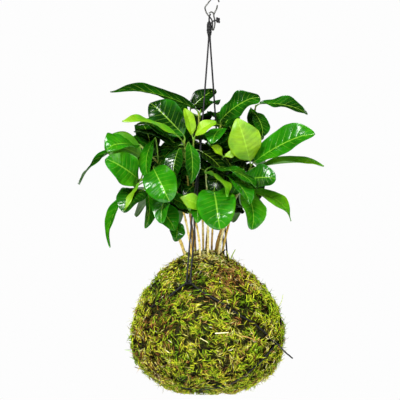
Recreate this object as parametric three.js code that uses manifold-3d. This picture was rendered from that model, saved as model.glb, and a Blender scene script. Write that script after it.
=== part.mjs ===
// Hanging kokedama: a damp soil ball in a skin of moss, bound with black string, planted with a clump of
// young coffee plants and hung by four cords from a wrapped knot and a bent wire hook.
// Millimetres, +Z up, +X to the right, -Y to the front. The origin is where the hook bears on its fitting.
import * as THREE from 'three';
import { mergeVertices } from 'three/addons/utils/BufferGeometryUtils.js';
import Module from 'manifold-3d';

const wasm = await Module();
wasm.setup();

// ---------------------------------------------------------------- driving dimensions

const GAP = 0.35;                 // clearance between neighbouring pieces
const PLUMB_X = -7;               // the ball's axis, measured from the hook's bearing point

// The moss ball, a round of two heights: a tall pointed shoulder over a full, flat-footed belly.
const BALL = {
  radius: 96,
  waistZ: -421,                   // height of the widest ring
  rise: 105,                      // waist to crown
  drop: 76,                       // waist to the lowest point before the foot is cut
  footZ: -494,                    // the small flat spot that it can be set down on
  shoulder: [1.7, 0.65],          // exponents of the upper half's outline
  belly: [2.2, 0.5],              // exponents of the lower half's outline
};
const MOSS_THICKNESS = 14;
const MOSS_RELIEF = 1.5;          // height of the low swells in the moss
const NECK = { x: -5, y: 2, rise: 6, spread: 27 };   // raised moss round the stems
const FOOT_RADIUS = 26;
const SOIL_FOOT = { z: -484, radius: 34 };
const CROWN_Z = BALL.waistZ + BALL.rise + NECK.rise + 3;   // clear above the neck

const STRING_RADIUS = 1.0;
const STRING_SIDES = 5;
const STRING_RISE = STRING_RADIUS + 5.5 * GAP;   // the string's centreline over the surface of the moss
const CORD_RADIUS = 1.0;
const WIRE_RADIUS = 0.9;
const HARNESS_KNOT = { x: 24.2, y: 64, z: -354, size: [5.2, 3.2, 3.2] };

const LEAF_THICKNESS = 0.8;
const PETIOLE_RADIUS = 0.9;
const STALK_END = 0.2;            // share of the blade that the stalk's last stretch is aimed along
const LEAF_CLEARANCE = 5.0;       // least distance from leaf to leaf, and
const TUBE_CLEARANCE = 4.4;       // from a leaf to a stem, stalk or cord, before it is bent clear
const SAMPLE_STEP = 3.5;          // spacing of the points that these distances are measured between
const OVAL = { shift: 1.14, fullness: 0.66, drip: 0.6 };
const NEAR_SHARE = 0.3;           // share of a blade, from its base, that may lie close to its own stem
const LEAST_HALF = 0.9;           // half width of a blade where its outline would run out to nothing

const UP = [0, 0, 1];

// ---------------------------------------------------------------- colours

const finish = (color, roughness, metalness = 0) =>
  new THREE.MeshStandardMaterial({ color, roughness, metalness, side: THREE.DoubleSide });
const MATERIALS = {
  leaf: finish(0x2f8f1f, 0.35),
  moss: finish(0x7d8a2a, 0.95),
  soil: finish(0x3a2a1c, 0.95),
  string: finish(0x1c1c1e, 0.8),
  wire: finish(0x8a8c8a, 0.4, 1),
};

// ---------------------------------------------------------------- solids

const vec = (p) => new THREE.Vector3(p[0], p[1], p[2]);

function solidOf(geometry) {
  const bare = geometry.index ? geometry.toNonIndexed() : geometry.clone();
  for (const name of Object.keys(bare.attributes)) if (name !== 'position') bare.deleteAttribute(name);
  const merged = mergeVertices(bare, 1e-4);
  return new wasm.Manifold(new wasm.Mesh({
    numProp: 3,
    vertProperties: new Float32Array(merged.attributes.position.array),
    triVerts: new Uint32Array(merged.index.array),
  }));
}

function geometryOf(solid) {
  const mesh = solid.getMesh();
  const geometry = new THREE.BufferGeometry();
  geometry.setAttribute('position', new THREE.BufferAttribute(new Float32Array(mesh.vertProperties), 3));
  geometry.setIndex(new THREE.BufferAttribute(new Uint32Array(mesh.triVerts), 1));
  return geometry;
}

const fuse = (solids) => solids.reduce((whole, solid) => whole.add(solid));

// A curve that is stepped evenly in its own parameter.
class Course extends THREE.Curve {
  constructor(pointAt) {
    super();
    this.pointAt = pointAt;
  }

  getPoint(t, target = new THREE.Vector3()) {
    return target.fromArray(this.pointAt(t));
  }

  getUtoTmapping(u) {
    return u;
  }
}

function ringShape(radius, sides) {
  const turn = (i) => (2 * Math.PI * i) / sides;
  const corners = Array.from({ length: sides }, (_, i) =>
    new THREE.Vector2(radius * Math.cos(turn(i)), radius * Math.sin(turn(i))));
  return new THREE.Shape(corners);
}

function tube(curve, radius, sides, steps) {
  return solidOf(new THREE.ExtrudeGeometry(ringShape(radius, sides),
    { steps, extrudePath: curve, bevelEnabled: false }));
}

function ring(curve, radius, sides, steps) {
  return solidOf(new THREE.TubeGeometry(curve, steps, radius, sides, true));
}

function pebble(centre, size, across = 8, down = 6) {
  const geometry = new THREE.SphereGeometry(1, across, down);
  geometry.scale(size[0], size[1], size[2]);
  geometry.translate(centre[0], centre[1], centre[2]);
  return solidOf(geometry);
}

const through = (points, closed = false) =>
  new THREE.CatmullRomCurve3(points.map(vec), closed, 'catmullrom', 0.5);

// ---------------------------------------------------------------- the ball's outline

// Radius of the ball at a height, shrunk by an inset all round.
function ballRadius(z, inset = 0) {
  const upper = z > BALL.waistZ;
  const height = (upper ? BALL.rise : BALL.drop) - inset;
  const [p, q] = upper ? BALL.shoulder : BALL.belly;
  const t = Math.min(Math.abs(z - BALL.waistZ) / height, 1);
  return (BALL.radius - inset) * Math.pow(1 - Math.pow(t, p), q);
}

// Low swells of the moss, by the direction round the ball and the height.
function mossSwell(azimuth, z) {
  return MOSS_RELIEF * (0.5 * Math.sin(3 * azimuth + z / 17) + 0.3 * Math.sin(5 * azimuth - z / 11 + 1)
    + 0.2 * Math.cos(2 * azimuth + z / 7));
}

// A closed ball of rings with a flat foot; swell adds relief and the neck at the crown.
function ballSolid({ inset, footZ, footRadius, across, below, above, swell }) {
  const rings = [{ z: footZ, r: footRadius }];
  for (let i = 1; i <= below; i += 1) {
    const z = BALL.waistZ - (BALL.waistZ - footZ) * Math.cos((0.5 * Math.PI * (i + 0.4)) / (below + 0.4));
    rings.push({ z, r: ballRadius(z, inset) });
  }
  for (let i = 1; i < above; i += 1) {
    const z = BALL.waistZ + (BALL.rise - inset) * Math.sin((0.5 * Math.PI * i) / above);
    rings.push({ z, r: ballRadius(z, inset) });
  }
  const points = [];
  rings.forEach(({ z, r }, level) => {
    for (let j = 0; j < across; j += 1) {
      const a = (2 * Math.PI * j) / across;
      const reach = r + (swell && level > 0 ? mossSwell(a, z) : 0);
      const x = reach * Math.sin(a);
      const y = -reach * Math.cos(a);
      points.push([x, y, swell && level > 0 ? z + neckLift(x, y, z) : z]);
    }
  });
  const crown = BALL.waistZ + BALL.rise - inset;
  points.push([0, 0, footZ], [0, 0, swell ? crown + neckLift(0, 0, crown) : crown]);
  const at = (level, j) => level * across + (j % across);
  const footCentre = rings.length * across;
  const faces = [];
  for (let j = 0; j < across; j += 1) {
    faces.push([footCentre, at(0, j + 1), at(0, j)]);
    for (let level = 0; level < rings.length - 1; level += 1) {
      faces.push([at(level, j), at(level, j + 1), at(level + 1, j + 1)]);
      faces.push([at(level, j), at(level + 1, j + 1), at(level + 1, j)]);
    }
    faces.push([at(rings.length - 1, j), at(rings.length - 1, j + 1), footCentre + 1]);
  }
  return meshSolid(points, faces);
}

function neckLift(x, y, z) {
  if (z < BALL.waistZ + BALL.rise / 2) return 0;
  const away = Math.hypot(x - NECK.x, y - NECK.y) / NECK.spread;
  return NECK.rise * Math.exp(-away * away);
}

function meshSolid(points, faces) {
  return new wasm.Manifold(new wasm.Mesh({
    numProp: 3,
    vertProperties: new Float32Array(points.flat()),
    triVerts: new Uint32Array(faces.flat()),
  }));
}

// ---------------------------------------------------------------- binding string

// Each round of string as [degrees round the ball from the front, height], by way of the harness knots.
const HARNESS_ROUND = [
  [-22, -355], [-8, -364], [11, -379], [23, -392], [36, -404], [47, -416], [62, -431], [92, -424],
  [125, -392], [158, -355], [172, -363], [196, -380], [222, -398], [252, -404], [284, -396], [312, -380],
  [326, -368],
];
const UNDERSIDE_ROUND = [
  [50, -444], [41, -460], [34, -474], [20, -484], [-20, -487], [-62, -484], [-92, -468], [-112, -440],
  [-122, -408], [-132, -374], [-150, -348], [-182, -336], [-214, -346], [-246, -372], [-272, -398],
  [-294, -424],
];
// Cut ends, each place with its height over the moss.
const STRING_ENDS = [
  [[58, -427, 1.4], [62, -433, 4], [67, -441, 10], [71, -449, 20]],
  [[-23, -355, 2.6], [-29, -361, 2.4], [-33, -367, 4]],
  [[157, -355, 2.6], [151, -361, 2.4], [147, -367, 4]],
];

function onBall([degrees, z], out) {
  const a = THREE.MathUtils.degToRad(degrees);
  const reach = ballRadius(z) + mossSwell(a, z) + out;
  return [reach * Math.sin(a), -reach * Math.cos(a), z];
}

// A place on a closed round of places; the degrees run on by a full turn where the round closes.
function roundPlace(course, t) {
  const count = course.length;
  const whole = Math.floor(t * count);
  const u = t * count - whole;
  const turn = Math.sign(course[1][0] - course[0][0]) * 360;
  const [a, b, c, d] = [-1, 0, 1, 2].map((k) => {
    const i = whole + k;
    const [degrees, z] = course[((i % count) + count) % count];
    return [degrees + turn * Math.floor(i / count), z];
  });
  return [0, 1].map((k) => 0.5 * (2 * b[k] + (c[k] - a[k]) * u + (2 * a[k] - 5 * b[k] + 4 * c[k] - d[k]) * u * u
    + (3 * b[k] - a[k] - 3 * c[k] + d[k]) * u * u * u));
}

function bindingString() {
  const pieces = [];
  for (const course of [HARNESS_ROUND, UNDERSIDE_ROUND]) {
    const curve = new Course((t) => onBall(roundPlace(course, t), STRING_RISE));
    pieces.push(ring(curve, STRING_RADIUS, STRING_SIDES, 2 * course.length));
  }
  for (const end of STRING_ENDS) {
    pieces.push(tube(through(end.map((place) => onBall(place, place[2]))), STRING_RADIUS, STRING_SIDES, 4));
  }
  const { x, y, z, size } = HARNESS_KNOT;
  for (const side of [-1, 1]) pieces.push(pebble([side * x, side * y, z], size));
  return fuse(pieces);
}

// ---------------------------------------------------------------- cords, knot and hook

// Each pair of cords runs from a harness knot, side by side, to lie one behind the other under the top knot.
const CORDS = {
  front_a: [[0.55, -1.15, -46.35], [0.45, -1.6, -57], [-5.4, -16.8, -135], [-9.9, -28.4, -196],
    [-15.5, -43, -272], [-21.8, -63, -350.3]],
  front_b: [[0.55, 1.15, -46.35], [0.45, 0.9, -57], [-5.4, -14.2, -135], [-10.6, -25.9, -196],
    [-19.6, -42.5, -272], [-26.4, -63, -350.3]],
  back_a: [[2.85, 1.15, -46.35], [2.95, 1.6, -57], [8.4, 16.8, -135], [12.5, 28.4, -196],
    [17.2, 43, -272], [21.8, 63, -350.3]],
  back_b: [[2.85, -1.15, -46.35], [2.95, -0.9, -57], [8.4, 14.2, -135], [13.2, 25.9, -196],
    [20.2, 42.5, -272], [26.4, 63, -350.3]],
};
const CORD_STEPS = 13;

// Wraps of the top knot, as a turned body with a rib for each turn.
const TOP_KNOT = { x: 1.6, top: -30, bottom: -46, wraps: 5, core: 2.7, belly: 0.7, rib: 0.45 };
const KNOT_LOOP = [[1.9, -1.3, -32], [1.4, -2.2, -26], [2.2, -1.9, -21.9], [3.0, 0, -20.6], [2.2, 1.9, -21.9],
  [1.4, 2.2, -26], [1.6, 1.3, -32]];
const KNOT_TAIL = [[2.6, -2.0, -33], [5.4, -3.7, -30], [8.4, -4.1, -28.2], [12, -3.2, -28]];
const STOPPER = { at: [12.6, -3.2, -27.8], size: [2.7, 2.4, 4.2] };

function topKnot() {
  const { x, top, bottom, wraps, core, belly, rib } = TOP_KNOT;
  const rows = 2 * wraps;
  const profile = [new THREE.Vector2(0, bottom)];
  for (let i = 0; i <= rows; i += 1) {
    const t = i / rows;
    const r = core + belly * Math.sin(Math.PI * t) + rib * (i % 2 ? 0 : -1);
    profile.push(new THREE.Vector2(r, bottom + (top - bottom) * t));
  }
  profile.push(new THREE.Vector2(0, top));
  const body = new THREE.LatheGeometry(profile, 10);
  body.rotateX(Math.PI / 2);
  body.translate(x, 0, 0);
  const loop = tube(through(KNOT_LOOP), CORD_RADIUS, 6, 11);
  const tail = tube(through(KNOT_TAIL), CORD_RADIUS, 6, 5);
  return fuse([solidOf(body), loop, tail, pebble(STOPPER.at, STOPPER.size, 7, 5)]);
}

const HOOK = [[13.6, 0, -4.6], [12.2, 0, -0.9], [7.4, 0, 0.9], [3.4, 0, -2.2], [-0.4, 0, -7],
  [-3.6, 0, -11.5], [-3.2, 0, -15], [-1.6, 0, -19], [1.4, 0, -23], [4.6, 1.6, -27], [5.6, 3.2, -32], [5.4, 3.9, -37],
  [6.3, 3.1, -40], [7.6, 1.4, -37.5], [8.6, 0, -32], [8.2, -0.6, -26.5], [7.2, -0.6, -21.5],
  [9.0, -0.4, -17], [10.9, 0, -13], [11.6, 0, -9.5]];
const HOOK_CURL = [[7.4, -0.6, -21.4], [6.2, -1.6, -18.6], [3.9, -2.4, -17.6], [1.6, -2.6, -18.8]];

function wireHook() {
  return fuse([tube(through(HOOK), WIRE_RADIUS, 6, 34), tube(through(HOOK_CURL), WIRE_RADIUS, 6, 4)]);
}

// ---------------------------------------------------------------- stems and leaves

// Course of each stem from its foot in the soil, as the four points of a cubic, and its radius.
const STEMS = [
  { radius: 1.9, course: [[-20, -4, -348], [-31, -7, -290], [-66, -22, -262], [-82, -30, -212]] },
  { radius: 1.3, course: [[-17, -8, -350], [-26, -18, -262], [-38, -30, -222], [-84, -24, -186]] },
  { radius: 1.3, course: [[-16, 5, -350], [-22, 2, -280], [-24, -22, -230], [-30, -30, -178]] },
  { radius: 1.2, course: [[-14, 12, -350], [-17, 9, -280], [-20, -20, -240], [-18, -32, -176]] },
  { radius: 1.3, course: [[-8, -12, -350], [-9, -13, -310], [-12, -22, -280], [-24, -27, -256]] },
  { radius: 1.3, course: [[-4, 15, -350], [-2, 18, -270], [10, 16, -220], [16, 8, -156]] },
  { radius: 1.4, course: [[-1, -10, -350], [1, -14, -290], [0, -22, -250], [-3, -28, -216]] },
  { radius: 1.2, course: [[4, -1, -350], [4, -2, -290], [8, -12, -240], [18, -24, -200]] },
  { radius: 1.4, course: [[4, 13, -350], [8, 18, -290], [34, 8, -250], [54, -6, -210]] },
  { radius: 1.5, course: [[9, -5, -350], [14, -10, -300], [24, -18, -262], [45, -18, -234]] },
  { radius: 1.4, course: [[11, 6, -350], [22, 14, -290], [46, 20, -210], [60, 14, -134]] },
  { radius: 1.3, course: [[-11, 19, -348], [-18, 32, -290], [-32, 46, -230], [-34, 48, -168]] },
  { radius: 1.3, course: [[4, 22, -348], [16, 26, -290], [36, 34, -240], [36, 58, -172]] },
  { radius: 1.3, course: [[-6, 3, -350], [-5, 5, -290], [-9, 9, -210], [-12, 6, -142]] },
];
const STEM_SIDES = 5;
const STEM_STEPS = 8;

// Leaves that fix the outline of the bush. Each grows from its stem at a share of the stem's length, and gives
// the blade's base and tip, its width, the way that its upper face looks, its arch, and how pointed it is, 0 to 1.
const leafOn = (stem, at, base, tip, width, face, arch, point = 0.3) =>
  ({ stem, at, base, tip, width, face, arch, point });
const LEAVES = [
  leafOn(14, 0.99, [-15, 3, -139], [-122, -12, -117], 39, [0, -0.25, 1], 15, 1),
  leafOn(3, 0.97, [-30, -32, -172], [-72, -26, -130], 41, [-0.5, -0.6, 0.6], 4),
  leafOn(4, 0.99, [-20, -33, -172], [-31, -36, -138], 15, [0.4, -0.9, 0.2], 3),
  leafOn(4, 0.99, [-16, -34, -173], [8, -38, -152], 19, [-0.3, -0.7, 0.7], 3),
  leafOn(3, 0.94, [-40, -46, -172], [-112, -70, -156], 32, [0, -0.3, 1], 6, 0.8),
  leafOn(3, 0.9, [-24, -38, -181], [-21, -60, -233], 21, [0.5, -1, 0.3], 7, 0.7),
  leafOn(3, 0.8, [-44, -18, -180], [-92, 4, -156], 36, [0.2, -0.3, 1], 7),
  leafOn(2, 0.99, [-90, -26, -186], [-126, -64, -188], 41, [-0.2, -0.7, 0.7], 5),
  leafOn(2, 0.95, [-92, -16, -182], [-163, -20, -232], 34, [-0.3, -0.25, 1], 10, 1),
  leafOn(1, 0.97, [-86, -38, -228], [-130, -74, -202], 41, [-0.1, -1, 0.4], 5),
  leafOn(2, 0.62, [-68, -50, -213], [-48, -80, -254], 42, [-0.1, -1, 0.35], 6, 0),
  leafOn(2, 0.8, [-66, -38, -176], [-79, -62, -226], 27, [-1, -0.3, 0.3], 9, 0.8),
  leafOn(3, 0.86, [-36, -38, -189], [-38, -58, -229], 26, [-0.5, -1, 0.2], 5, 0.2),
  leafOn(3, 0.75, [-44, -8, -196], [-82, 24, -216], 41, [0.1, -0.8, 0.6], 6),
  leafOn(1, 0.82, [-80, -34, -240], [-106, -68, -266], 39, [-0.4, -0.9, 0.4], 6),
  leafOn(1, 0.86, [-90, -24, -238], [-124, -28, -312], 32, [-0.9, -0.3, 0.5], 12, 1),
  leafOn(1, 0.7, [-76, -30, -240], [-77, -42, -288], 24, [1, -0.35, 0.2], 4, 0.6),
  leafOn(1, 0.58, [-66, -26, -256], [-46, -46, -292], 30, [0.3, -1, 0.3], 4),
  leafOn(5, 0.84, [-24, -24, -262], [-58, -34, -250], 24, [0.3, -0.7, 0.6], 3),
  leafOn(1, 0.42, [-38, -18, -280], [-40, -34, -304], 20, [0.2, -1, 0.3], 3),
  leafOn(5, 0.6, [-6, -28, -272], [-32, -44, -246], 28, [0.2, -1, 0.2], 2),
  leafOn(7, 0.78, [7, -26, -240], [14, -74, -288], 50, [0, -0.9, 0.5], 9, 0),
  leafOn(10, 0.97, [44, -22, -238], [56, -54, -289], 37, [0.6, -0.8, 0.3], 8, 0),
  leafOn(10, 0.93, [52, -14, -242], [106, -24, -278], 32, [0, -0.25, 1], 12, 1),
  leafOn(10, 0.99, [47, -22, -228], [84, -46, -225], 33, [0.1, -1, 0.35], 5, 0),
  leafOn(9, 0.96, [60, -5, -212], [145, -14, -208], 36, [0, -0.15, 1], 7, 1),
  leafOn(9, 0.99, [58, -12, -205], [132, -42, -168], 46, [-0.2, -0.75, 0.65], 6, 0),
  leafOn(9, 0.99, [52, -16, -204], [36, -40, -151], 42, [0.1, -0.95, 0.1], 6, 0.6),
  leafOn(6, 0.99, [16, 4, -153], [64, -14, -122], 40, [0.1, -0.7, 0.7], 6, 0.1),
  leafOn(11, 0.9, [55, 4, -142], [66, -16, -176], 26, [0.7, -0.8, 0.2], 5, 0.2),
  leafOn(11, 0.99, [65, 12, -132], [125, -4, -144], 32, [0, -0.35, 1], 8, 1),
  leafOn(14, 0.95, [-9, 12, -140], [12, 40, -114], 30, [-0.4, -0.6, 0.7], 4, 0.6),
  leafOn(6, 0.95, [18, -6, -164], [-3, -46, -184], 32, [-0.3, -0.5, 0.9], 5),
  leafOn(8, 0.99, [18, -27, -197], [3, -34, -184], 12, [0.2, -0.8, 0.6], 2),
  leafOn(8, 0.99, [21, -26, -198], [38, -34, -194], 13, [-0.2, -0.8, 0.6], 2),
  leafOn(7, 0.99, [2, -32, -212], [62, -50, -242], 30, [0.3, -0.3, 1], 7),
  leafOn(7, 0.97, [-4, -35, -218], [26, -66, -247], 26, [0.7, -0.1, 1], 6, 0.7),
  leafOn(8, 0.8, [22, -8, -214], [50, 14, -230], 34, [0, -0.8, 0.6], 5),
];

// Leaves that fill the sides and back of each stem: how many, and the middle of the fan that they spread in,
// in degrees round the plant from the front, turning to the right.
const FILLING = [
  { stem: 1, count: 4, toward: 200 }, { stem: 2, count: 4, toward: 220 }, { stem: 3, count: 5, toward: 230 },
  { stem: 4, count: 6, toward: 170 }, { stem: 6, count: 7, toward: 120 }, { stem: 8, count: 5, toward: 100 },
  { stem: 9, count: 6, toward: 120 }, { stem: 10, count: 4, toward: 130 }, { stem: 11, count: 6, toward: 160 },
  { stem: 12, count: 8, toward: 205 }, { stem: 13, count: 9, toward: 160 }, { stem: 14, count: 7, toward: 200 },
];
const FILL_SPREAD = 150;          // degrees from one side of the fan to the other
const FILL_HEIGHTS = [0.98, 0.5]; // share of the stem where the top one grows, and the share they run down over
const FILL_CLIMB = [34, -28];     // degrees over level of the top one and of the lowest
const FILL_STRAY = 16;            // degrees that a climb may stray by in all
const FILL_STALK = { out: 9, up: 3 };
const FILL_NARROW = 0.7;          // how much less the fans reach to the left and right than to the back
const FILL_LENGTH = [66, 92];
const FILL_SLENDER = 0.42;        // width over length
const FILL_ARCH = 0.1;            // arch over length
const FILL_FACE = 0.2;            // lean of the upper face, outward over up
const STEM_OFFSET = 0.37;         // share of the fan that each stem's first leaf is set on by
const GOLDEN_SHARE = 0.618034;
const FILL_ROOM = -1;             // a filling leaf that finds less room than this is left out
const FILL_SEED = 20261123;

// From the front the filling stays inside a full oval, given by its middle, half width and half height.
const BUSH = { x: -22, z: -205, wide: 100, high: 84, fullness: 2.6, room: 60 };

// Small differences from leaf to leaf, each as its least value and its spread.
const TWIST = [-0.2, 0.4];        // radians from base to tip
const FOLD = [0.08, 0.2];         // rise of the edges over the midrib, as a share of the half width
const WAVE = [0.03, 0.04];        // height of the edge's waves over the width
const WAVES = [3, 1.5];
const PHASE = [0, 2];
const SHAPE_SEED = 4711;

// The same row of numbers every time, each from 0 to 1.
function makeDraw(seed) {
  let state = seed;
  return () => {
    state = (state * 1664525 + 1013904223) % 4294967296;
    return state / 4294967296;
  };
}

const add = (a, b, k = 1) => [a[0] + k * b[0], a[1] + k * b[1], a[2] + k * b[2]];
const dot = (a, b) => a[0] * b[0] + a[1] * b[1] + a[2] * b[2];
const cross = (a, b) => [a[1] * b[2] - a[2] * b[1], a[2] * b[0] - a[0] * b[2], a[0] * b[1] - a[1] * b[0]];
const unit = (a) => add([0, 0, 0], a, 1 / Math.sqrt(dot(a, a)));
const length = (a) => Math.sqrt(dot(a, a));

function cubic([a, b, c, d], t) {
  const s = 1 - t;
  return [0, 1, 2].map((k) =>
    s * s * s * a[k] + 3 * s * s * t * b[k] + 3 * s * t * t * c[k] + t * t * t * d[k]);
}

// Turns a vector about a unit axis.
function turned(v, axis, angle) {
  const c = Math.cos(angle);
  const along = add([0, 0, 0], axis, dot(axis, v) * (1 - c));
  return add(add(add([0, 0, 0], v, c), cross(axis, v), Math.sin(angle)), along);
}

// The directions of a blade: along it, across it and out of its upper face.
function bladeFrame(leaf) {
  const span = add(leaf.tip, leaf.base, -1);
  const along = unit(span);
  const out = unit(add(leaf.face, along, -dot(leaf.face, along)));
  return { along, out, across: cross(along, out), reach: length(span) };
}

// Share of the half width at a share of the length: a full oval that is widest past its middle, drawn out to
// a drip tip by the leaf's point.
function bladeOutline(t, point) {
  const tip = Math.max(0, (t - 0.6) / 0.4);
  const oval = Math.pow(Math.max(Math.sin(Math.PI * Math.pow(t, OVAL.shift)), 0), OVAL.fullness);
  return oval * (1 - OVAL.drip * point * tip * tip * (3 - 2 * tip));
}

// A point of the blade's middle surface at a share t of its length and s from edge to edge, -1 to 1.
function bladePoint(leaf, frame, t, s) {
  const half = Math.max(0.5 * leaf.width * bladeOutline(t, leaf.point), LEAST_HALF);
  const bend = (4 * leaf.arch * (1 - 2 * t)) / frame.reach;
  const out = unit(add(frame.out, frame.along, -bend));
  const twist = leaf.twist * t;
  const side = add(add([0, 0, 0], frame.across, Math.cos(twist)), out, Math.sin(twist));
  const face = add(add([0, 0, 0], out, Math.cos(twist)), frame.across, -Math.sin(twist));
  const lift = half * leaf.fold * Math.abs(s)
    + leaf.wave * s * s * Math.sin(Math.PI * (leaf.waves * t + leaf.phase + (s < 0 ? 0.5 : 0)));
  const mid = add(add(leaf.base, frame.along, frame.reach * t), frame.out, 4 * leaf.arch * t * (1 - t));
  return { at: add(add(mid, side, half * s), face, lift), face };
}

function bladeSolid(leaf, stations) {
  const frame = bladeFrame(leaf);
  const points = [];
  const rows = stations + 1;
  for (const face of [0.5, -0.5]) {
    for (let i = 0; i < rows; i += 1) {
      const t = 0.5 - 0.5 * Math.cos((Math.PI * (i + 0.35)) / (stations + 0.35));
      for (const s of [-1, 0, 1]) {
        const { at, face: out } = bladePoint(leaf, frame, i === 0 ? 0 : t, s);
        points.push(add(at, out, face * LEAF_THICKNESS));
      }
    }
  }
  const faces = [];
  const upper = (i, j) => 3 * i + j;
  const lower = (i, j) => 3 * rows + 3 * i + j;
  for (let i = 0; i < stations; i += 1) {
    for (let j = 0; j < 2; j += 1) {
      const split = j === 0 ? [[0, 0], [1, 0], [1, 1], [0, 0], [1, 1], [0, 1]]
        : [[0, 0], [1, 0], [0, 1], [0, 1], [1, 0], [1, 1]];
      const corner = split.map(([di, dj]) => [i + di, j + dj]);
      for (const k of [0, 3]) {
        const [a, b, c] = corner.slice(k, k + 3);
        faces.push([upper(...a), upper(...c), upper(...b)], [lower(...a), lower(...b), lower(...c)]);
      }
    }
    faces.push([upper(i, 0), upper(i + 1, 0), lower(i, 0)], [upper(i + 1, 0), lower(i + 1, 0), lower(i, 0)]);
    faces.push([upper(i, 2), lower(i, 2), upper(i + 1, 2)], [upper(i + 1, 2), lower(i, 2), lower(i + 1, 2)]);
  }
  for (let j = 0; j < 2; j += 1) {
    faces.push([upper(0, j), lower(0, j), upper(0, j + 1)], [upper(0, j + 1), lower(0, j), lower(0, j + 1)]);
    faces.push([upper(stations, j), upper(stations, j + 1), lower(stations, j)]);
    faces.push([upper(stations, j + 1), lower(stations, j + 1), lower(stations, j)]);
  }
  return meshSolid(points, faces);
}

// A point of a stem at a share of its steps: the first step is the straight foot up to the crown of the moss,
// and the rest are even on the cubic.
function stemPoint({ course }, u) {
  let collar = 0;
  while (cubic(course, collar)[2] < CROWN_Z) collar += 0.01;
  const foot = 1 / STEM_STEPS;
  if (u < foot) return add(course[0], add(cubic(course, collar), course[0], -1), u / foot);
  return cubic(course, collar + ((1 - collar) * (u - foot)) / (1 - foot));
}

// A point on the straight lengths that the stem's tube is made of.
function tubePoint(stem, u) {
  const whole = Math.min(Math.floor(u * STEM_STEPS), STEM_STEPS - 1);
  const from = stemPoint(stem, whole / STEM_STEPS);
  return add(from, add(stemPoint(stem, (whole + 1) / STEM_STEPS), from, -1), u * STEM_STEPS - whole);
}

// The stalk starts on the stem's centreline and runs a little way into the blade.
function stalkCourse(leaf) {
  const frame = bladeFrame(leaf);
  const start = tubePoint(STEMS[leaf.stem - 1], leaf.at);
  const sweep = 0.35 * length(add(leaf.base, start, -1));
  const further = bladePoint(leaf, frame, STALK_END, 0).at;
  return [start, add(leaf.base, frame.along, -sweep), add(leaf.base, add(further, leaf.base, -1), STALK_END)];
}

function stalkPoint(course, t) {
  const s = 1 - t;
  return [0, 1, 2].map((k) => s * s * course[0][k] + 2 * s * t * course[1][k] + t * t * course[2][k]);
}

// Points that stand for a leaf when distances are measured.
function leafSamples(leaf) {
  const frame = bladeFrame(leaf);
  const samples = [];
  const along = Math.ceil(frame.reach / SAMPLE_STEP);
  for (let i = 0; i <= along; i += 1) {
    const t = i / along;
    const half = 0.5 * leaf.width * bladeOutline(t, leaf.point);
    const beside = Math.ceil(half / SAMPLE_STEP);
    for (let j = -beside; j <= beside; j += 1) {
      samples.push({ at: bladePoint(leaf, frame, t, beside ? j / beside : 0).at, near: t < NEAR_SHARE });
    }
  }
  return samples;
}

// Points along a line of about the given length.
const SPANS = { cord: 320, stem: 200, stalk: 30 };
function lineSamples(pointAt, span) {
  const count = Math.ceil(span / SAMPLE_STEP);
  return Array.from({ length: count + 1 }, (_, i) => pointAt(i / count));
}

// Turns that are tried in order, the smallest first: degrees up or down, degrees left or right, and what is
// left of the leaf's size.
const SHRINK_COST = 3000;         // a leaf's whole size, in square degrees of turn
const TURNS = [];
for (const size of [1, 0.86, 0.74]) {
  for (const pitch of [0, 7, -7, 14, -14, 21, -21, 28, -28, 36, -36]) {
    for (const yaw of [0, 8, -8, 16, -16, 24, -24]) {
      TURNS.push({ size, pitch, yaw, cost: pitch * pitch + yaw * yaw + SHRINK_COST * (1 - size) });
    }
  }
}
TURNS.sort((a, b) => a.cost - b.cost);

function turnLeaf(leaf, { size, pitch, yaw }) {
  const { out, across } = bladeFrame(leaf);
  const span = add(leaf.tip, leaf.base, -1);
  const pitched = turned(span, across, THREE.MathUtils.degToRad(pitch));
  const swung = turned(pitched, out, THREE.MathUtils.degToRad(yaw));
  const face = turned(leaf.face, across, THREE.MathUtils.degToRad(pitch));
  return { ...leaf, tip: add(leaf.base, swung, size), width: leaf.width * size, arch: leaf.arch * size, face };
}

// About how far inside the bush's oval a point is.
function insideBush([x, , z]) {
  const share = Math.pow(Math.abs((x - BUSH.x) / BUSH.wide), BUSH.fullness)
    + Math.pow(Math.abs((z - BUSH.z) / BUSH.high), BUSH.fullness);
  return BUSH.room * (1 - share);
}

// Least distance from a leaf to what already stands, less what each neighbour asks for.
function spare(leaf, standing) {
  let least = Infinity;
  for (const sample of leafSamples(leaf)) {
    if (leaf.filling) least = Math.min(least, insideBush(sample.at));
    for (const thing of standing) {
      if (thing.stem === leaf.stem && (thing.tube || sample.near)) continue;
      const { low, high } = thing;
      const p = sample.at;
      const box = [0, 1, 2].map((k) => Math.max(low[k] - p[k], p[k] - high[k], 0));
      if (length(box) - thing.clearance > least) continue;
      for (const q of thing.points) {
        const far = length(add(p, q, -1)) - thing.clearance;
        if (far < least) least = far;
      }
    }
  }
  return least;
}

function asStanding(points, clearance, stem, isTube) {
  const low = [0, 1, 2].map((k) => Math.min(...points.map((p) => p[k])));
  const high = [0, 1, 2].map((k) => Math.max(...points.map((p) => p[k])));
  return { points, clearance, stem, tube: isTube, low, high };
}

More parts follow.
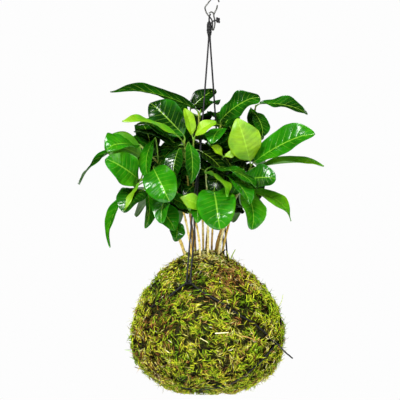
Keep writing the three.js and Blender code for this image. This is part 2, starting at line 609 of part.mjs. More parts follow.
// Bends each leaf clear of the cords, the stems and the leaves before it.
function settleLeaves(wanted) {
  const standing = [];
  for (const route of Object.values(CORDS)) {
    const curve = through(route);
    const points = lineSamples((t) => curve.getPoint(t).toArray(), SPANS.cord);
    standing.push(asStanding(points, TUBE_CLEARANCE, 0, true));
  }
  STEMS.forEach((stem, i) => {
    const points = lineSamples((t) => tubePoint(stem, t), SPANS.stem);
    standing.push(asStanding(points, TUBE_CLEARANCE, i + 1, true));
  });
  const settled = [];
  for (const leaf of wanted) {
    let best = leaf;
    let bestRoom = -Infinity;
    for (const turn of TURNS) {
      const tried = turnLeaf(leaf, turn);
      const room = spare(tried, standing);
      if (room > bestRoom) {
        best = tried;
        bestRoom = room;
      }
      if (room >= 0) break;
    }
    if (leaf.filling && bestRoom < FILL_ROOM) continue;
    settled.push(best);
    const course = stalkCourse(best);
    const stalk = lineSamples((t) => stalkPoint(course, t), SPANS.stalk);
    standing.push(asStanding(stalk, TUBE_CLEARANCE, leaf.stem, true));
    const far = leafSamples(best).filter((sample) => !sample.near).map((sample) => sample.at);
    const near = leafSamples(best).filter((sample) => sample.near).map((sample) => sample.at);
    standing.push(asStanding(far, LEAF_CLEARANCE, leaf.stem, false));
    standing.push(asStanding(near, LEAF_CLEARANCE, leaf.stem, true));
  }
  return settled;
}

function fillingLeaves() {
  const draw = makeDraw(FILL_SEED);
  const leaves = [];
  for (const { stem, count, toward } of FILLING) {
    for (let i = 0; i < count; i += 1) {
      const at = FILL_HEIGHTS[0] - (FILL_HEIGHTS[1] * i) / Math.max(count, 4);
      const share = (i * GOLDEN_SHARE + stem * STEM_OFFSET) % 1;
      const round = THREE.MathUtils.degToRad(toward + FILL_SPREAD * (share - 0.5));
      const level = FILL_CLIMB[0] + (FILL_CLIMB[1] - FILL_CLIMB[0]) * (i / Math.max(count - 1, 1));
      const climb = THREE.MathUtils.degToRad(level + FILL_STRAY * (draw() - 0.5));
      const reach = FILL_LENGTH[0] + (FILL_LENGTH[1] - FILL_LENGTH[0]) * draw();
      const flat = unit([FILL_NARROW * Math.sin(round), -Math.cos(round), 0]);
      const way = add(add([0, 0, 0], flat, Math.cos(climb)), UP, Math.sin(climb));
      const start = tubePoint(STEMS[stem - 1], at);
      const base = add(add(start, flat, FILL_STALK.out), UP, FILL_STALK.up);
      const tip = add(base, way, reach);
      const face = add(UP, flat, FILL_FACE);
      const leaf = leafOn(stem, at, base, tip, reach * FILL_SLENDER, face, FILL_ARCH * reach);
      leaves.push({ ...leaf, filling: true });
    }
  }
  return leaves;
}

function allLeaves() {
  const draw = makeDraw(SHAPE_SEED);
  const pick = ([least, spread]) => least + spread * draw();
  const dressed = [...LEAVES, ...fillingLeaves()].map((leaf) => ({
    ...leaf,
    twist: pick(TWIST),
    fold: pick(FOLD),
    wave: leaf.width * pick(WAVE),
    waves: pick(WAVES),
    phase: pick(PHASE),
  }));
  return settleLeaves(dressed);
}

const leaves = allLeaves();

function leafyStem(index) {
  const stem = STEMS[index];
  const pieces = [tube(new Course((u) => stemPoint(stem, u)), stem.radius, STEM_SIDES, STEM_STEPS)];
  leaves.forEach((leaf) => {
    if (leaf.stem !== index + 1) return;
    const stalk = stalkCourse(leaf);
    pieces.push(tube(new Course((t) => stalkPoint(stalk, t)), PETIOLE_RADIUS, 3, 2));
    pieces.push(bladeSolid(leaf, leaf.filling ? 4 : 5));
  });
  return fuse(pieces);
}

// The plain hole that a stem's straight foot stands in.
function stemHole(stem) {
  const [foot, collar] = [0, 1 / STEM_STEPS].map((u) => vec(stemPoint(stem, u)));
  const way = collar.clone().sub(foot).normalize();
  const axis = new THREE.LineCurve3(foot.addScaledVector(way, -GAP), collar.addScaledVector(way, GAP));
  return tube(axis, (stem.radius + GAP) / Math.cos(Math.PI / STEM_SIDES), STEM_SIDES, 1);
}

// ---------------------------------------------------------------- assembly

const holes = fuse(STEMS.map(stemHole));
const soilRound = ballSolid({
  inset: MOSS_THICKNESS, footZ: SOIL_FOOT.z, footRadius: SOIL_FOOT.radius, across: 16, below: 3, above: 5,
});
const soil = soilRound.subtract(holes);

// The hollow in the moss is the soil's own form, a clearance larger about the ball's middle.
const swollen = 1 + GAP / (BALL.drop - MOSS_THICKNESS);
const hollow = soilRound.translate([0, 0, -BALL.waistZ]).scale([swollen, swollen, swollen])
  .translate([0, 0, BALL.waistZ]);
const moss = ballSolid({
  inset: 0, footZ: BALL.footZ, footRadius: FOOT_RADIUS, across: 32, below: 6, above: 9, swell: true,
}).subtract(hollow).subtract(holes);

const kokedama = new THREE.Group();
kokedama.position.x = PLUMB_X;

function place(name, solid, material) {
  const mesh = new THREE.Mesh(geometryOf(solid), material.clone());
  mesh.name = name;
  kokedama.add(mesh);
}

place('soil_core', soil, MATERIALS.soil);
place('moss_skin', moss, MATERIALS.moss);
place('binding_string', bindingString(), MATERIALS.string);
for (const [name, route] of Object.entries(CORDS)) {
  place(`hang_cord_${name}`, tube(through(route), CORD_RADIUS, 8, CORD_STEPS), MATERIALS.string);
}
place('top_knot', topKnot(), MATERIALS.string);
place('wire_hook', wireHook(), MATERIALS.wire);
STEMS.forEach((_, i) => place(`coffee_stem_${String(i + 1).padStart(2, '0')}`, leafyStem(i), MATERIALS.leaf));

export default kokedama;
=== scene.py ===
"""Looks of a hanging kokedama: a ball of soil in moss, planted with young coffee and hung on black cords.

Sizes in the tables are millimetres in the plant's own frame, where the ball's axis is x = 0. Meshes are made
in metres in the row frame, whose origin is the place where the wire hook bears.
"""

import logging
import math
from dataclasses import dataclass, field, replace
from enum import Enum
from typing import Any, Sequence

import bpy
import numpy as np
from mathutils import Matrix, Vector
from mathutils.kdtree import KDTree

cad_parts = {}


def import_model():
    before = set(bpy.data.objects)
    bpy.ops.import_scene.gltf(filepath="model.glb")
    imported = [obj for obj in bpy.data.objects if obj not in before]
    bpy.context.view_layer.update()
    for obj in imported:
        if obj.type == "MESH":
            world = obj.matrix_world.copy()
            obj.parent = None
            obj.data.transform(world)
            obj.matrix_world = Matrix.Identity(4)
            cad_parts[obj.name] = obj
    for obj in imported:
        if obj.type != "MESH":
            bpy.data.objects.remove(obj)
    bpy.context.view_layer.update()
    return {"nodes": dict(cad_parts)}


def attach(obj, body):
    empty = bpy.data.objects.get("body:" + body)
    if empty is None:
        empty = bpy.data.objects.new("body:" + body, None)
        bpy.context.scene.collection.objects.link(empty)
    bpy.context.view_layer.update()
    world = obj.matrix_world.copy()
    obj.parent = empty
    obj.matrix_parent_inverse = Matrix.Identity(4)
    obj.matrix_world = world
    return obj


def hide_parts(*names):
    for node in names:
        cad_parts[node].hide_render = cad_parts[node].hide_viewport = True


LOG = logging.getLogger("kokedama")
Array = np.ndarray
Colour = tuple[float, float, float, float]
Point = tuple[float, float, float]
Stops = tuple[tuple[float, str], ...]  # places from 0 to 1 on a ramp, and their sRGB hex codes

MM = 0.001
PLUMB_X = -7.0  # the ball's axis, measured from the hook's bearing point
BODY = "root"
FULL_TURN = 2 * math.pi
UP = np.array([0.0, 0.0, 1.0])


# -------------------------------------------------------------------------------------------- small helpers


def srgb(code: str) -> Colour:
    """Converts a colour to the linear values that a shader takes.

    Args:
        code: The colour as #rrggbb.

    Returns:
        Linear red, green, blue and an alpha of 1.
    """
    channels = [int(code[i : i + 2], 16) / 255 for i in (1, 3, 5)]
    linear = [c / 12.92 if c <= 0.04045 else ((c + 0.055) / 1.055) ** 2.4 for c in channels]
    return (linear[0], linear[1], linear[2], 1.0)


def unit(v: Array) -> Array:
    """Scales vectors to a length of one, along their last axis."""
    return v / np.maximum(np.linalg.norm(v, axis=-1, keepdims=True), 1e-12)


def smooth(x: Array) -> Array:
    """Eases a share from 0 to 1, flat at both ends."""
    x = np.clip(x, 0.0, 1.0)
    return x * x * (3 - 2 * x)


def turned(v: Array, axis: Array, degrees: float) -> Array:
    """Turns a vector about a unit axis."""
    c, s = math.cos(math.radians(degrees)), math.sin(math.radians(degrees))
    return v * c + np.cross(axis, v) * s + axis * np.dot(axis, v) * (1 - c)


def between(a: Array, b: Array, c: Array, d: Array, u: Array) -> Array:
    """Gives places on the smooth line through four points, at shares u of the way from b to c."""
    return 0.5 * (2 * b + (c - a) * u + (2 * a - 5 * b + 4 * c - d) * u**2 + (3 * b - a - 3 * c + d) * u**3)


def catmull_rom(points: Sequence[Sequence[float]], steps: int) -> Array:
    """Runs a smooth line through points, as the frame's own cords run through theirs.

    Args:
        points: The places that the line goes through.
        steps: How many straight lengths the line is made of.

    Returns:
        The line's steps + 1 places.
    """
    p = np.array(points, float)
    p = np.vstack([2 * p[0] - p[1], p, 2 * p[-1] - p[-2]])
    t = np.linspace(0, len(p) - 3, steps + 1)
    i = np.minimum(t.astype(int), len(p) - 4)
    return between(p[i], p[i + 1], p[i + 2], p[i + 3], (t - i)[:, None])


WAVES = 14  # how many waves make up a random pattern
WAVE_PACE = 2.2  # the waves' pace, times the size of the features


def wander(p: Array, scale: float, seed: int) -> Array:
    """Gives smooth random values, about -1 to 1, over places in space.

    Args:
        p: Places, in millimetres, one to a row.
        scale: The size of the features, in millimetres.
        seed: Chooses the pattern.

    Returns:
        One value to a place.
    """
    rng = np.random.default_rng(seed)
    waves = rng.normal(size=(WAVES, 3)) * (WAVE_PACE / scale)
    phases = rng.uniform(0, FULL_TURN, WAVES)
    return np.sin(p @ waves.T + phases).sum(1) / math.sqrt(WAVES / 2)


# --------------------------------------------------------------------------------------------------- meshes


@dataclass
class Skin:
    """A mesh that is being put together, in millimetres in the plant's own frame.

    Attributes:
        places: Blocks of vertices.
        quads: Blocks of four-sided faces.
        tris: Blocks of three-sided faces.
        marks: Values for each vertex, by name, in step with the places.
        maps: Texture places for each vertex, by name.
        count: How many vertices there are.
    """

    places: list[Array] = field(default_factory=list)
    quads: list[Array] = field(default_factory=list)
    tris: list[Array] = field(default_factory=list)
    marks: dict[str, list[Array]] = field(default_factory=dict)
    maps: dict[str, list[Array]] = field(default_factory=dict)
    count: int = 0

    def add(
        self,
        places: Array,
        quads: Array | None = None,
        tris: Array | None = None,
        marks: dict[str, Array | float] | None = None,
        maps: dict[str, Array] | None = None,
    ) -> None:
        """Adds a block of vertices with its faces.

        Args:
            places: The vertices, one to a row.
            quads: Faces of four, as rows of the block's own vertex numbers.
            tris: Faces of three, in the same way.
            marks: A value for each vertex, or one value for all of them, by name.
            maps: A texture place for each vertex, by name.
        """
        if quads is not None and len(quads):
            self.quads.append(quads + self.count)
        if tris is not None and len(tris):
            self.tris.append(tris + self.count)
        self.places.append(places)
        for name, value in (marks or {}).items():
            self.marks.setdefault(name, []).append(np.broadcast_to(value, (len(places),)))
        for name, value in (maps or {}).items():
            self.maps.setdefault(name, []).append(value)
        self.count += len(places)

    def build(self, name: str, finish: "Finish", nodes: Sequence[str]) -> bpy.types.Object:
        """Makes the Blender object, in metres in the row frame, and puts it on the frame.

        Args:
            name: The piece's name.
            finish: Its finish.
            nodes: The frame's nodes that the piece stands for.

        Returns:
            The piece.
        """
        places = (np.vstack(self.places) + np.array([PLUMB_X, 0, 0])) * MM
        quads = np.vstack(self.quads) if self.quads else np.zeros((0, 4), int)
        tris = np.vstack(self.tris) if self.tris else np.zeros((0, 3), int)
        corners = np.concatenate([quads.ravel(), tris.ravel()]).astype(np.int32)
        sizes = np.concatenate([np.full(len(quads), 4), np.full(len(tris), 3)])
        starts = np.concatenate([[0], np.cumsum(sizes)[:-1]]).astype(np.int32)
        mesh = bpy.data.meshes.new(name)
        mesh.vertices.add(len(places))
        mesh.vertices.foreach_set("co", places.astype(np.float32).ravel())
        mesh.loops.add(len(corners))
        mesh.loops.foreach_set("vertex_index", corners)
        mesh.polygons.add(len(sizes))
        mesh.polygons.foreach_set("loop_start", starts)
        mesh.polygons.foreach_set("use_smooth", np.ones(len(sizes), bool))
        mesh.update(calc_edges=True)
        for mark, blocks in self.marks.items():
            layer = mesh.attributes.new(mark, "FLOAT", "POINT")
            layer.data.foreach_set("value", np.concatenate(blocks).astype(np.float32))
        for chart, blocks in self.maps.items():
            layer = mesh.uv_layers.new(name=chart)
            layer.data.foreach_set("uv", np.vstack(blocks)[corners].astype(np.float32).ravel())
        mesh.materials.append(finish.material())
        piece = bpy.data.objects.new(name, mesh)
        bpy.context.scene.collection.objects.link(piece)
        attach(piece, BODY)
        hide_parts(*nodes)
        LOG.info("%s: %d vertices, %d faces", name, len(places), len(sizes))
        return piece


def grid_quads(rows: int, columns: int, closed: bool = False, wrap: bool = False) -> Array:
    """Numbers the faces of a grid of vertices.

    Args:
        rows: How many rows of vertices there are.
        columns: How many vertices are in a row.
        closed: Whether each row joins up into a ring.
        wrap: Whether the last row joins the first.

    Returns:
        The faces, four vertex numbers to a row.
    """
    i = np.arange(rows if wrap else rows - 1)[:, None]
    j = np.arange(columns if closed else columns - 1)[None, :]
    k, m = (i + 1) % rows, (j + 1) % columns
    return np.stack([i * columns + j, i * columns + m, k * columns + m, k * columns + j], -1).reshape(-1, 4)


def carried_frame(line: Array, closed: bool = False) -> tuple[Array, Array, Array]:
    """Carries a pair of side directions along a line without spinning them.

    Args:
        line: The places along the line.
        closed: Whether the line is a ring.

    Returns:
        The line's direction and the two side directions at each place.
    """
    ahead = np.roll(line, -1, 0) - np.roll(line, 1, 0)
    if not closed:
        ahead[0], ahead[-1] = line[1] - line[0], line[-1] - line[-2]
    ahead = unit(ahead)
    first = np.cross(ahead[0], [0.0, 0.0, 1.0] if abs(ahead[0][2]) < 0.9 else [1.0, 0.0, 0.0])
    sides = [unit(first)]
    for way in ahead[1:]:
        side = sides[-1] - way * np.dot(sides[-1], way)
        sides.append(unit(side))
    side = np.array(sides)
    if closed:
        end = sides[-1] - ahead[0] * np.dot(sides[-1], ahead[0])
        slip = math.atan2(np.dot(np.cross(end, side[0]), ahead[0]), np.dot(end, side[0]))
        share = slip * np.arange(len(line))[:, None] / len(line)
        side = side * np.cos(share) + np.cross(ahead, side) * np.sin(share)
    return ahead, side, np.cross(ahead, side)


@dataclass(frozen=True)
class Laid:
    """How a cord is laid.

    Attributes:
        groove: Depth of the grooves between its strands, as a share of its radius.
        lay: The length that a strand takes to go once round.
        strands: How many strands it has.
        fullness: How round the strands are; lower is rounder.
    """

    groove: float
    lay: float
    strands: int = 3
    fullness: float = 0.7


CAP_RINGS = (0.0, 0.35, 0.75)  # where a rounded end has its rings, as shares of a quarter turn
CAP_LENGTH = 0.9  # how far a rounded end stands out, as a share of the radius
CAP_TIP = 0.05  # radius of its last ring, in the same way


def sweep(
    skin: Skin,
    line: Array,
    radius: Array | float,
    sides: int,
    closed: bool = False,
    laid: Laid | None = None,
    marks: dict[str, Array | float] | None = None,
) -> None:
    """Sweeps a round or stranded section along a line, with rounded ends.

    Args:
        skin: The mesh that the tube is added to.
        line: The places along the line.
        radius: The tube's radius, or one radius for each place.
        sides: How many sides the section has.
        closed: Whether the line is a ring.
        laid: How its strands are laid, or None where it is plain.
        marks: Values for the vertices, one for each place on the line or one for all.
    """
    lengths = np.linalg.norm(np.diff(line, axis=0), axis=1)
    run = np.concatenate([[0], np.cumsum(lengths)])
    radii = np.broadcast_to(radius, (len(line),)).astype(float)
    marks = {k: np.broadcast_to(v, (len(line),)).astype(float) for k, v in (marks or {}).items()}
    if not closed:
        lead = unit(line[1] - line[0]) * radii[0]
        tail = unit(line[-1] - line[-2]) * radii[-1]
        front = np.array([line[0] - lead * CAP_LENGTH * math.cos(e * math.pi / 2) for e in CAP_RINGS])
        back = np.array([line[-1] + tail * CAP_LENGTH * math.cos(e * math.pi / 2) for e in CAP_RINGS[::-1]])
        shrink = np.array([math.sin(e * math.pi / 2) for e in CAP_RINGS])
        shrink[0] = CAP_TIP
        line = np.vstack([front, line, back])
        radii = np.concatenate([radii[0] * shrink, radii, radii[-1] * shrink[::-1]])
        rings = len(CAP_RINGS)
        run = np.pad(run, rings, "edge")
        marks = {k: np.pad(v, rings, "edge") for k, v in marks.items()}
    _, side, up = carried_frame(line, closed)
    turn = FULL_TURN * np.arange(sides) / sides
    angle = np.broadcast_to(turn[None, :], (len(line), sides))
    reach = np.broadcast_to(radii[:, None], angle.shape)
    if laid:
        turns = max(round(run[-1] / laid.lay), 1) / run[-1] if closed else 1 / laid.lay
        strand = np.abs(np.sin(0.5 * laid.strands * (angle - FULL_TURN * turns * run[:, None])))
        reach = reach * (1 - laid.groove + laid.groove * strand**laid.fullness)
    ring = side[:, None] * np.cos(angle)[..., None] + up[:, None] * np.sin(angle)[..., None]
    places = (line[:, None] + ring * reach[..., None]).reshape(-1, 3)
    quads = grid_quads(len(line), sides, closed=True, wrap=closed)
    tris = None
    if not closed:
        first, last = np.arange(sides), np.arange(sides) + (len(line) - 1) * sides
        tris = np.vstack([
            [[first[0], first[k + 1], first[k]] for k in range(1, sides - 1)],
            [[last[0], last[k], last[k + 1]] for k in range(1, sides - 1)],
        ])
    skin.add(places, quads, tris, {k: np.repeat(v, sides) for k, v in marks.items()})


# ------------------------------------------------------------------------------------------------- finishes


@dataclass(frozen=True)
class Kind:
    """What a kind of node is called and how it is used.

    Attributes:
        name: Blender's name for its type.
        inputs: The inputs that its values go into, in order.
        output: The output that is read, or None where it has none.
        settings: The settings that it always has.
    """

    name: str
    inputs: tuple[int | str, ...] = (0, 1)
    output: int | str | None = 0
    settings: tuple[tuple[str, str], ...] = ()


class Node(Enum):
    """The kinds of node that the finishes are made of."""

    CHART = Kind("ShaderNodeUVMap")
    SPLIT = Kind("ShaderNodeSeparateXYZ")
    PLACE = Kind("ShaderNodeTexCoord", output="Object")
    MOVE = Kind("ShaderNodeVectorMath", settings=(("operation", "ADD"),))
    NOISE = Kind("ShaderNodeTexNoise", ("Vector", "Scale", "Detail"), "Fac")
    MARK = Kind("ShaderNodeAttribute", output="Fac")
    PLUS = Kind("ShaderNodeMath", settings=(("operation", "ADD"),))
    MINUS = Kind("ShaderNodeMath", settings=(("operation", "SUBTRACT"),))
    TIMES = Kind("ShaderNodeMath", settings=(("operation", "MULTIPLY"),))
    LARGER = Kind("ShaderNodeMath", settings=(("operation", "MAXIMUM"),))
    WITHOUT_SIGN = Kind("ShaderNodeMath", settings=(("operation", "ABSOLUTE"),))
    FRACTION = Kind("ShaderNodeMath", settings=(("operation", "FRACT"),))
    RANGE = Kind("ShaderNodeMapRange", (0, 1, 2, 3, 4))
    RAMP = Kind("ShaderNodeValToRGB", output="Color")
    BLEND = Kind("ShaderNodeMix", (0, 6, 7), 2, (("data_type", "RGBA"), ("blend_type", "MIX")))
    DARKEN = Kind("ShaderNodeMix", (0, 6, 7), 2, (("data_type", "RGBA"), ("blend_type", "MULTIPLY")))
    BUMP = Kind("ShaderNodeBump", ("Height", "Distance", "Strength"), "Normal")
    SHADER = Kind("ShaderNodeBsdfPrincipled")
    OUTPUT = Kind("ShaderNodeOutputMaterial", ("Surface",), None)


@dataclass
class Tree:
    """The nodes of one material."""

    material: bpy.types.Material

    def add(
        self,
        node: Node,
        *values: Any,
        inputs: dict[str, Any] | None = None,
        stops: Stops = (),
        **settings: Any,
    ) -> bpy.types.NodeSocket | None:
        """Adds a node with its settings and links.

        Args:
            node: Its kind.
            values: What goes into its inputs, in the kind's order: a value or another node's output.
            inputs: The same for inputs that are called by their names.
            stops: The colours of a ramp.
            settings: Its own settings.

        Returns:
            The output that is read, or None where the kind has none.
        """
        kind, tree = node.value, self.material.node_tree
        made = tree.nodes.new(kind.name)
        for name, value in (dict(kind.settings) | settings).items():
            setattr(made, name, value)
        for name, value in (dict(zip(kind.inputs, values)) | (inputs or {})).items():
            if isinstance(value, bpy.types.NodeSocket):
                tree.links.new(value, made.inputs[name])
            else:
                made.inputs[name].default_value = value
        if stops:
            elements = made.color_ramp.elements
            for place, code in stops[2:]:
                elements.new(place).color = srgb(code)
            for element, (place, code) in zip(sorted(elements, key=lambda e: e.position), sorted(stops)):
                element.position, element.color = place, srgb(code)
        return None if kind.output is None else made.outputs[kind.output]

    def grain(self, size_mm: float, detail: float, seed: float = 0.0) -> bpy.types.NodeSocket:
        """Returns a random pattern from 0 to 1, with features about size_mm wide; the seed moves it."""
        moved = self.add(Node.MOVE, self.add(Node.PLACE), (seed, seed * 0.7, -seed))
        return self.add(Node.NOISE, moved, 1 / (size_mm * MM), detail)

    def surface(self, inputs: dict[str, Any]) -> bpy.types.Material:
        """Ends the tree in one surface, given what goes into its inputs, and returns the material."""
        self.add(Node.OUTPUT, self.add(Node.SHADER, inputs=inputs))
        return self.material


def new_tree(name: str) -> Tree:
    """Starts a material with no nodes.

    Args:
        name: The material's name.

    Returns:
        Its empty tree.
    """
    material = bpy.data.materials.new(name)
    material.use_nodes = True
    material.node_tree.nodes.clear()
    return Tree(material)


@dataclass(frozen=True)
class BladeFinish:
    """Waxy coffee leaf. Its cuticle is a thin clear wax of IOR 1.45 on green tissue, and shines like polish.

    Attributes:
        name: The material's name.
        greens: From an old leaf, at 0, to a young one, at 1; its darkest end, near black, is also painted
            shade for leaves deep in the bush.
        blotches: What its blotches darken the green by.
        vein: The midrib and the side veins, paler than the tissue.
        back: The under side, paler and without the wax.
        pairs_of_veins: How many pairs of side veins it has.
        sweep_of_veins: How far they run forward on their way to the edge, in spacings.
        tint_mm: Width of the patches that are lighter or darker, the lighter ones painted glow of light
            shining through the blade.
        tint: How far lighter or darker they are on the greens' ramp.
        blotch_mm: Width of the blotches.
        wax_mm: Width of the places where the wax is thicker.
        pore_mm: Width of the tissue's fine swellings, drawn coarser than they are, so that they show.
        depth_mm: Depth of the relief.
        polish: Roughness of thick and of thin wax.
        ior: The wax's index of refraction.
    """

    name: str = "coffee_leaf_waxy_cuticle"
    greens: Stops = (
        (0.0, "#051302"), (0.25, "#0b3203"), (0.5, "#1f6c06"), (0.8, "#458807"), (1.0, "#769e06"),
    )
    blotches: Stops = ((0.3, "#9a9a9a"), (0.7, "#ffffff"))
    vein: str = "#97c838"
    back: str = "#4b8418"
    pairs_of_veins: float = 9.0
    sweep_of_veins: float = 1.5
    tint_mm: float = 30.0
    tint: float = 0.12
    blotch_mm: float = 9.0
    wax_mm: float = 5.0
    pore_mm: float = 1.6
    depth_mm: float = 0.5
    polish: tuple[float, float] = (0.14, 0.26)
    ior: float = 1.45

    def make(self) -> bpy.types.Material:
        """Makes the material, which reads each leaf's own map and its age and side marks.

        Returns:
            The material.
        """
        t = new_tree(self.name)
        age, under = (t.add(Node.MARK, attribute_name=mark) for mark in ("age", "under"))
        chart = t.add(Node.SPLIT, t.add(Node.CHART, uv_map="blade")).node
        along, across = chart.outputs[0], t.add(Node.MINUS, chart.outputs[1], 0.5)
        aside = t.add(Node.TIMES, t.add(Node.WITHOUT_SIGN, across), 2.0)
        # Lighter and darker places wander over the blade, the lighter ones painted glow of light shining
        # through it, and its very edge is a little lighter.
        glow_and_edge = t.add(Node.RANGE, t.grain(self.tint_mm, 1, 1.0), 0.3, 0.7, -self.tint, self.tint)
        glow_and_edge = t.add(Node.PLUS, glow_and_edge, t.add(Node.RANGE, aside, 0.8, 1.0, 0.0, 0.08))
        green = t.add(Node.RAMP, t.add(Node.PLUS, age, glow_and_edge), stops=self.greens)
        blotch = t.add(Node.RAMP, t.grain(self.blotch_mm, 4), stops=self.blotches)
        green = t.add(Node.DARKEN, 0.5, green, blotch)
        # The side veins run forward from the midrib and fade before the edge.
        run = t.add(Node.TIMES, along, self.pairs_of_veins)
        lean = t.add(Node.TIMES, aside, self.sweep_of_veins)
        beat = t.add(Node.FRACTION, t.add(Node.MINUS, run, lean))
        off = t.add(Node.WITHOUT_SIGN, t.add(Node.MINUS, beat, 0.5))
        fade = t.add(Node.RANGE, aside, 0.95, 0.4, 0.0, 0.3)
        vein = t.add(Node.TIMES, t.add(Node.RANGE, off, 0.06, 0.015, 0.0, 1.0), fade)
        midrib = t.add(Node.RANGE, aside, 0.055, 0.018, 0.0, 0.6)
        lines = t.add(Node.LARGER, vein, midrib)
        colour = t.add(Node.BLEND, t.add(Node.TIMES, lines, 0.6), green, srgb(self.vein))
        colour = t.add(Node.BLEND, t.add(Node.TIMES, under, 0.3), colour, srgb(self.back))
        # Young leaves and under sides have less wax.
        rough = t.add(Node.RANGE, t.grain(self.wax_mm, 2, 3.0), 0.0, 1.0, *self.polish)
        rough = t.add(Node.PLUS, rough, t.add(Node.TIMES, under, 0.35))
        rough = t.add(Node.PLUS, rough, t.add(Node.RANGE, age, 0.55, 0.9, 0.0, 0.28))
        pores = t.add(Node.TIMES, t.grain(self.pore_mm, 2, 7.0), 0.25)
        relief = t.add(Node.PLUS, pores, t.add(Node.TIMES, lines, -0.5))
        return t.surface({
            "Base Color": colour, "Roughness": rough, "IOR": self.ior,
            "Normal": t.add(Node.BUMP, relief, self.depth_mm * MM, 1.0),
        })


@dataclass(frozen=True)
class BarkFinish:
    """Thin bark of young coffee wood, ringed where leaves have dropped; dry and matt, IOR of cellulose 1.47.

    Attributes:
        name: The material's name.
        woods: Old bark, from brown at 0 to pale gold at 1.
        streaks: What its streaks darken it by.
        shoots: The green of shoots that have no bark yet.
        streak_mm: Width of the streaks.
        shoot_mm: Width of the patches on green shoots.
        gloss_mm: Width of the duller places.
        grain_mm: Width of the bark's grain.
        depth_mm: Depth of the grain.
        rough: Roughness, least and most.
        ior: The bark's index of refraction.
    """

    name: str = "coffee_wood_thin_bark"
    woods: Stops = ((0.0, "#765424"), (0.4, "#cba044"), (0.7, "#f4d468"), (1.0, "#fbf0b4"))
    streaks: Stops = ((0.35, "#6f6f6f"), (0.65, "#ffffff"))
    shoots: Stops = ((0.3, "#336412"), (0.7, "#5f8f22"))
    streak_mm: float = 1.2
    shoot_mm: float = 4.0
    gloss_mm: float = 2.0
    grain_mm: float = 0.8
    depth_mm: float = 0.25
    rough: tuple[float, float] = (0.45, 0.7)
    ior: float = 1.47

    def make(self) -> bpy.types.Material:
        """Makes the material, which reads how golden and how green the stem is.

        Returns:
            The material.
        """
        t = new_tree(self.name)
        gold, shoot = (t.add(Node.MARK, attribute_name=mark) for mark in ("gold", "green"))
        streak = t.add(Node.RAMP, t.grain(self.streak_mm, 4), stops=self.streaks)
        wood = t.add(Node.DARKEN, 0.6, t.add(Node.RAMP, gold, stops=self.woods), streak)
        green = t.add(Node.RAMP, t.grain(self.shoot_mm, 2), stops=self.shoots)
        return t.surface({
            "Base Color": t.add(Node.BLEND, shoot, wood, green), "IOR": self.ior,
            "Roughness": t.add(Node.RANGE, t.grain(self.gloss_mm, 2), 0.0, 1.0, *self.rough),
            "Normal": t.add(Node.BUMP, t.grain(self.grain_mm, 4), self.depth_mm * MM, 1.0),
        })


@dataclass(frozen=True)
class MottledFinish:
    """A finish of one mottled colour, with an uneven gloss and a fine relief.

    Attributes:
        name: The material's name.
        colours: Its colours, dark and light.
        widths_mm: About how wide the features of its colour, its gloss and its relief are.
        details: How many finer patterns lie in each of the three.
        rough: Roughness, least and most.
        depth_mm: Depth of the relief.
        constants: The shader's plain values, by input.
    """

    name: str
    colours: Stops
    widths_mm: tuple[float, float, float]
    details: tuple[float, float, float]
    rough: tuple[float, float]
    depth_mm: float
    constants: tuple[tuple[str, float], ...]

    def make(self) -> bpy.types.Material:
        """Makes the material.

        Returns:
            The material.
        """
        t = new_tree(self.name)
        colour, gloss, relief = map(t.grain, self.widths_mm, self.details)
        return t.surface({
            "Base Color": t.add(Node.RAMP, colour, stops=self.colours),
            "Roughness": t.add(Node.RANGE, gloss, 0.0, 1.0, *self.rough),
            "Normal": t.add(Node.BUMP, relief, self.depth_mm * MM, 1.0),
            **dict(self.constants),
        })


@dataclass(frozen=True)
class MatFinish(MottledFinish):
    """Pressed moss and peat between the fronds, with little shine; its own dark brown is deepened to near
    black as painted shade, so that the gaps between the fronds look deep.

    Its specular level is low, because crumbs of peat hide the light from one another.
    """

    name: str = "moss_hypnum_pressed_mat"
    # Near black: painted shade in the gaps between the fronds.
    colours: Stops = ((0.3, "#0e0b05"), (0.5, "#1b1a08"), (0.7, "#2a310e"))
    widths_mm: tuple[float, float, float] = (7.0, 3.0, 1.5)
    details: tuple[float, float, float] = (5, 2, 5)
    rough: tuple[float, float] = (0.8, 1.0)
    depth_mm: float = 1.2
    constants: tuple[tuple[str, float], ...] = (("IOR", 1.4), ("Specular IOR Level", 0.2))


@dataclass(frozen=True)
class CordFinish(MottledFinish):
    """Black polyester cord, laid in three strands; a dull sheen on the strands and dark between them.

    Its fibres are drawn half a millimetre wide, far coarser than they are, so that they show.
    """

    name: str = "polyester_cord_laid_black"
    colours: Stops = ((0.3, "#030304"), (0.7, "#0e0f11"))
    widths_mm: tuple[float, float, float] = (1.1, 1.5, 0.5)
    details: tuple[float, float, float] = (4, 2, 3)
    rough: tuple[float, float] = (0.5, 0.75)
    depth_mm: float = 0.2
    constants: tuple[tuple[str, float], ...] = (("IOR", 1.5),)


@dataclass(frozen=True)
class WireFinish(MottledFinish):
    """Zinc-coated steel wire, drawn and bent cold; dull grey, mottled where the zinc has weathered."""

    name: str = "steel_wire_zinc_drawn"
    colours: Stops = ((0.3, "#4a4b47"), (0.7, "#83847e"))
    widths_mm: tuple[float, float, float] = (2.5, 1.0, 0.6)
    details: tuple[float, float, float] = (4, 3, 2)
    rough: tuple[float, float] = (0.5, 0.7)
    depth_mm: float = 0.08
    constants: tuple[tuple[str, float], ...] = (("Metallic", 1.0),)


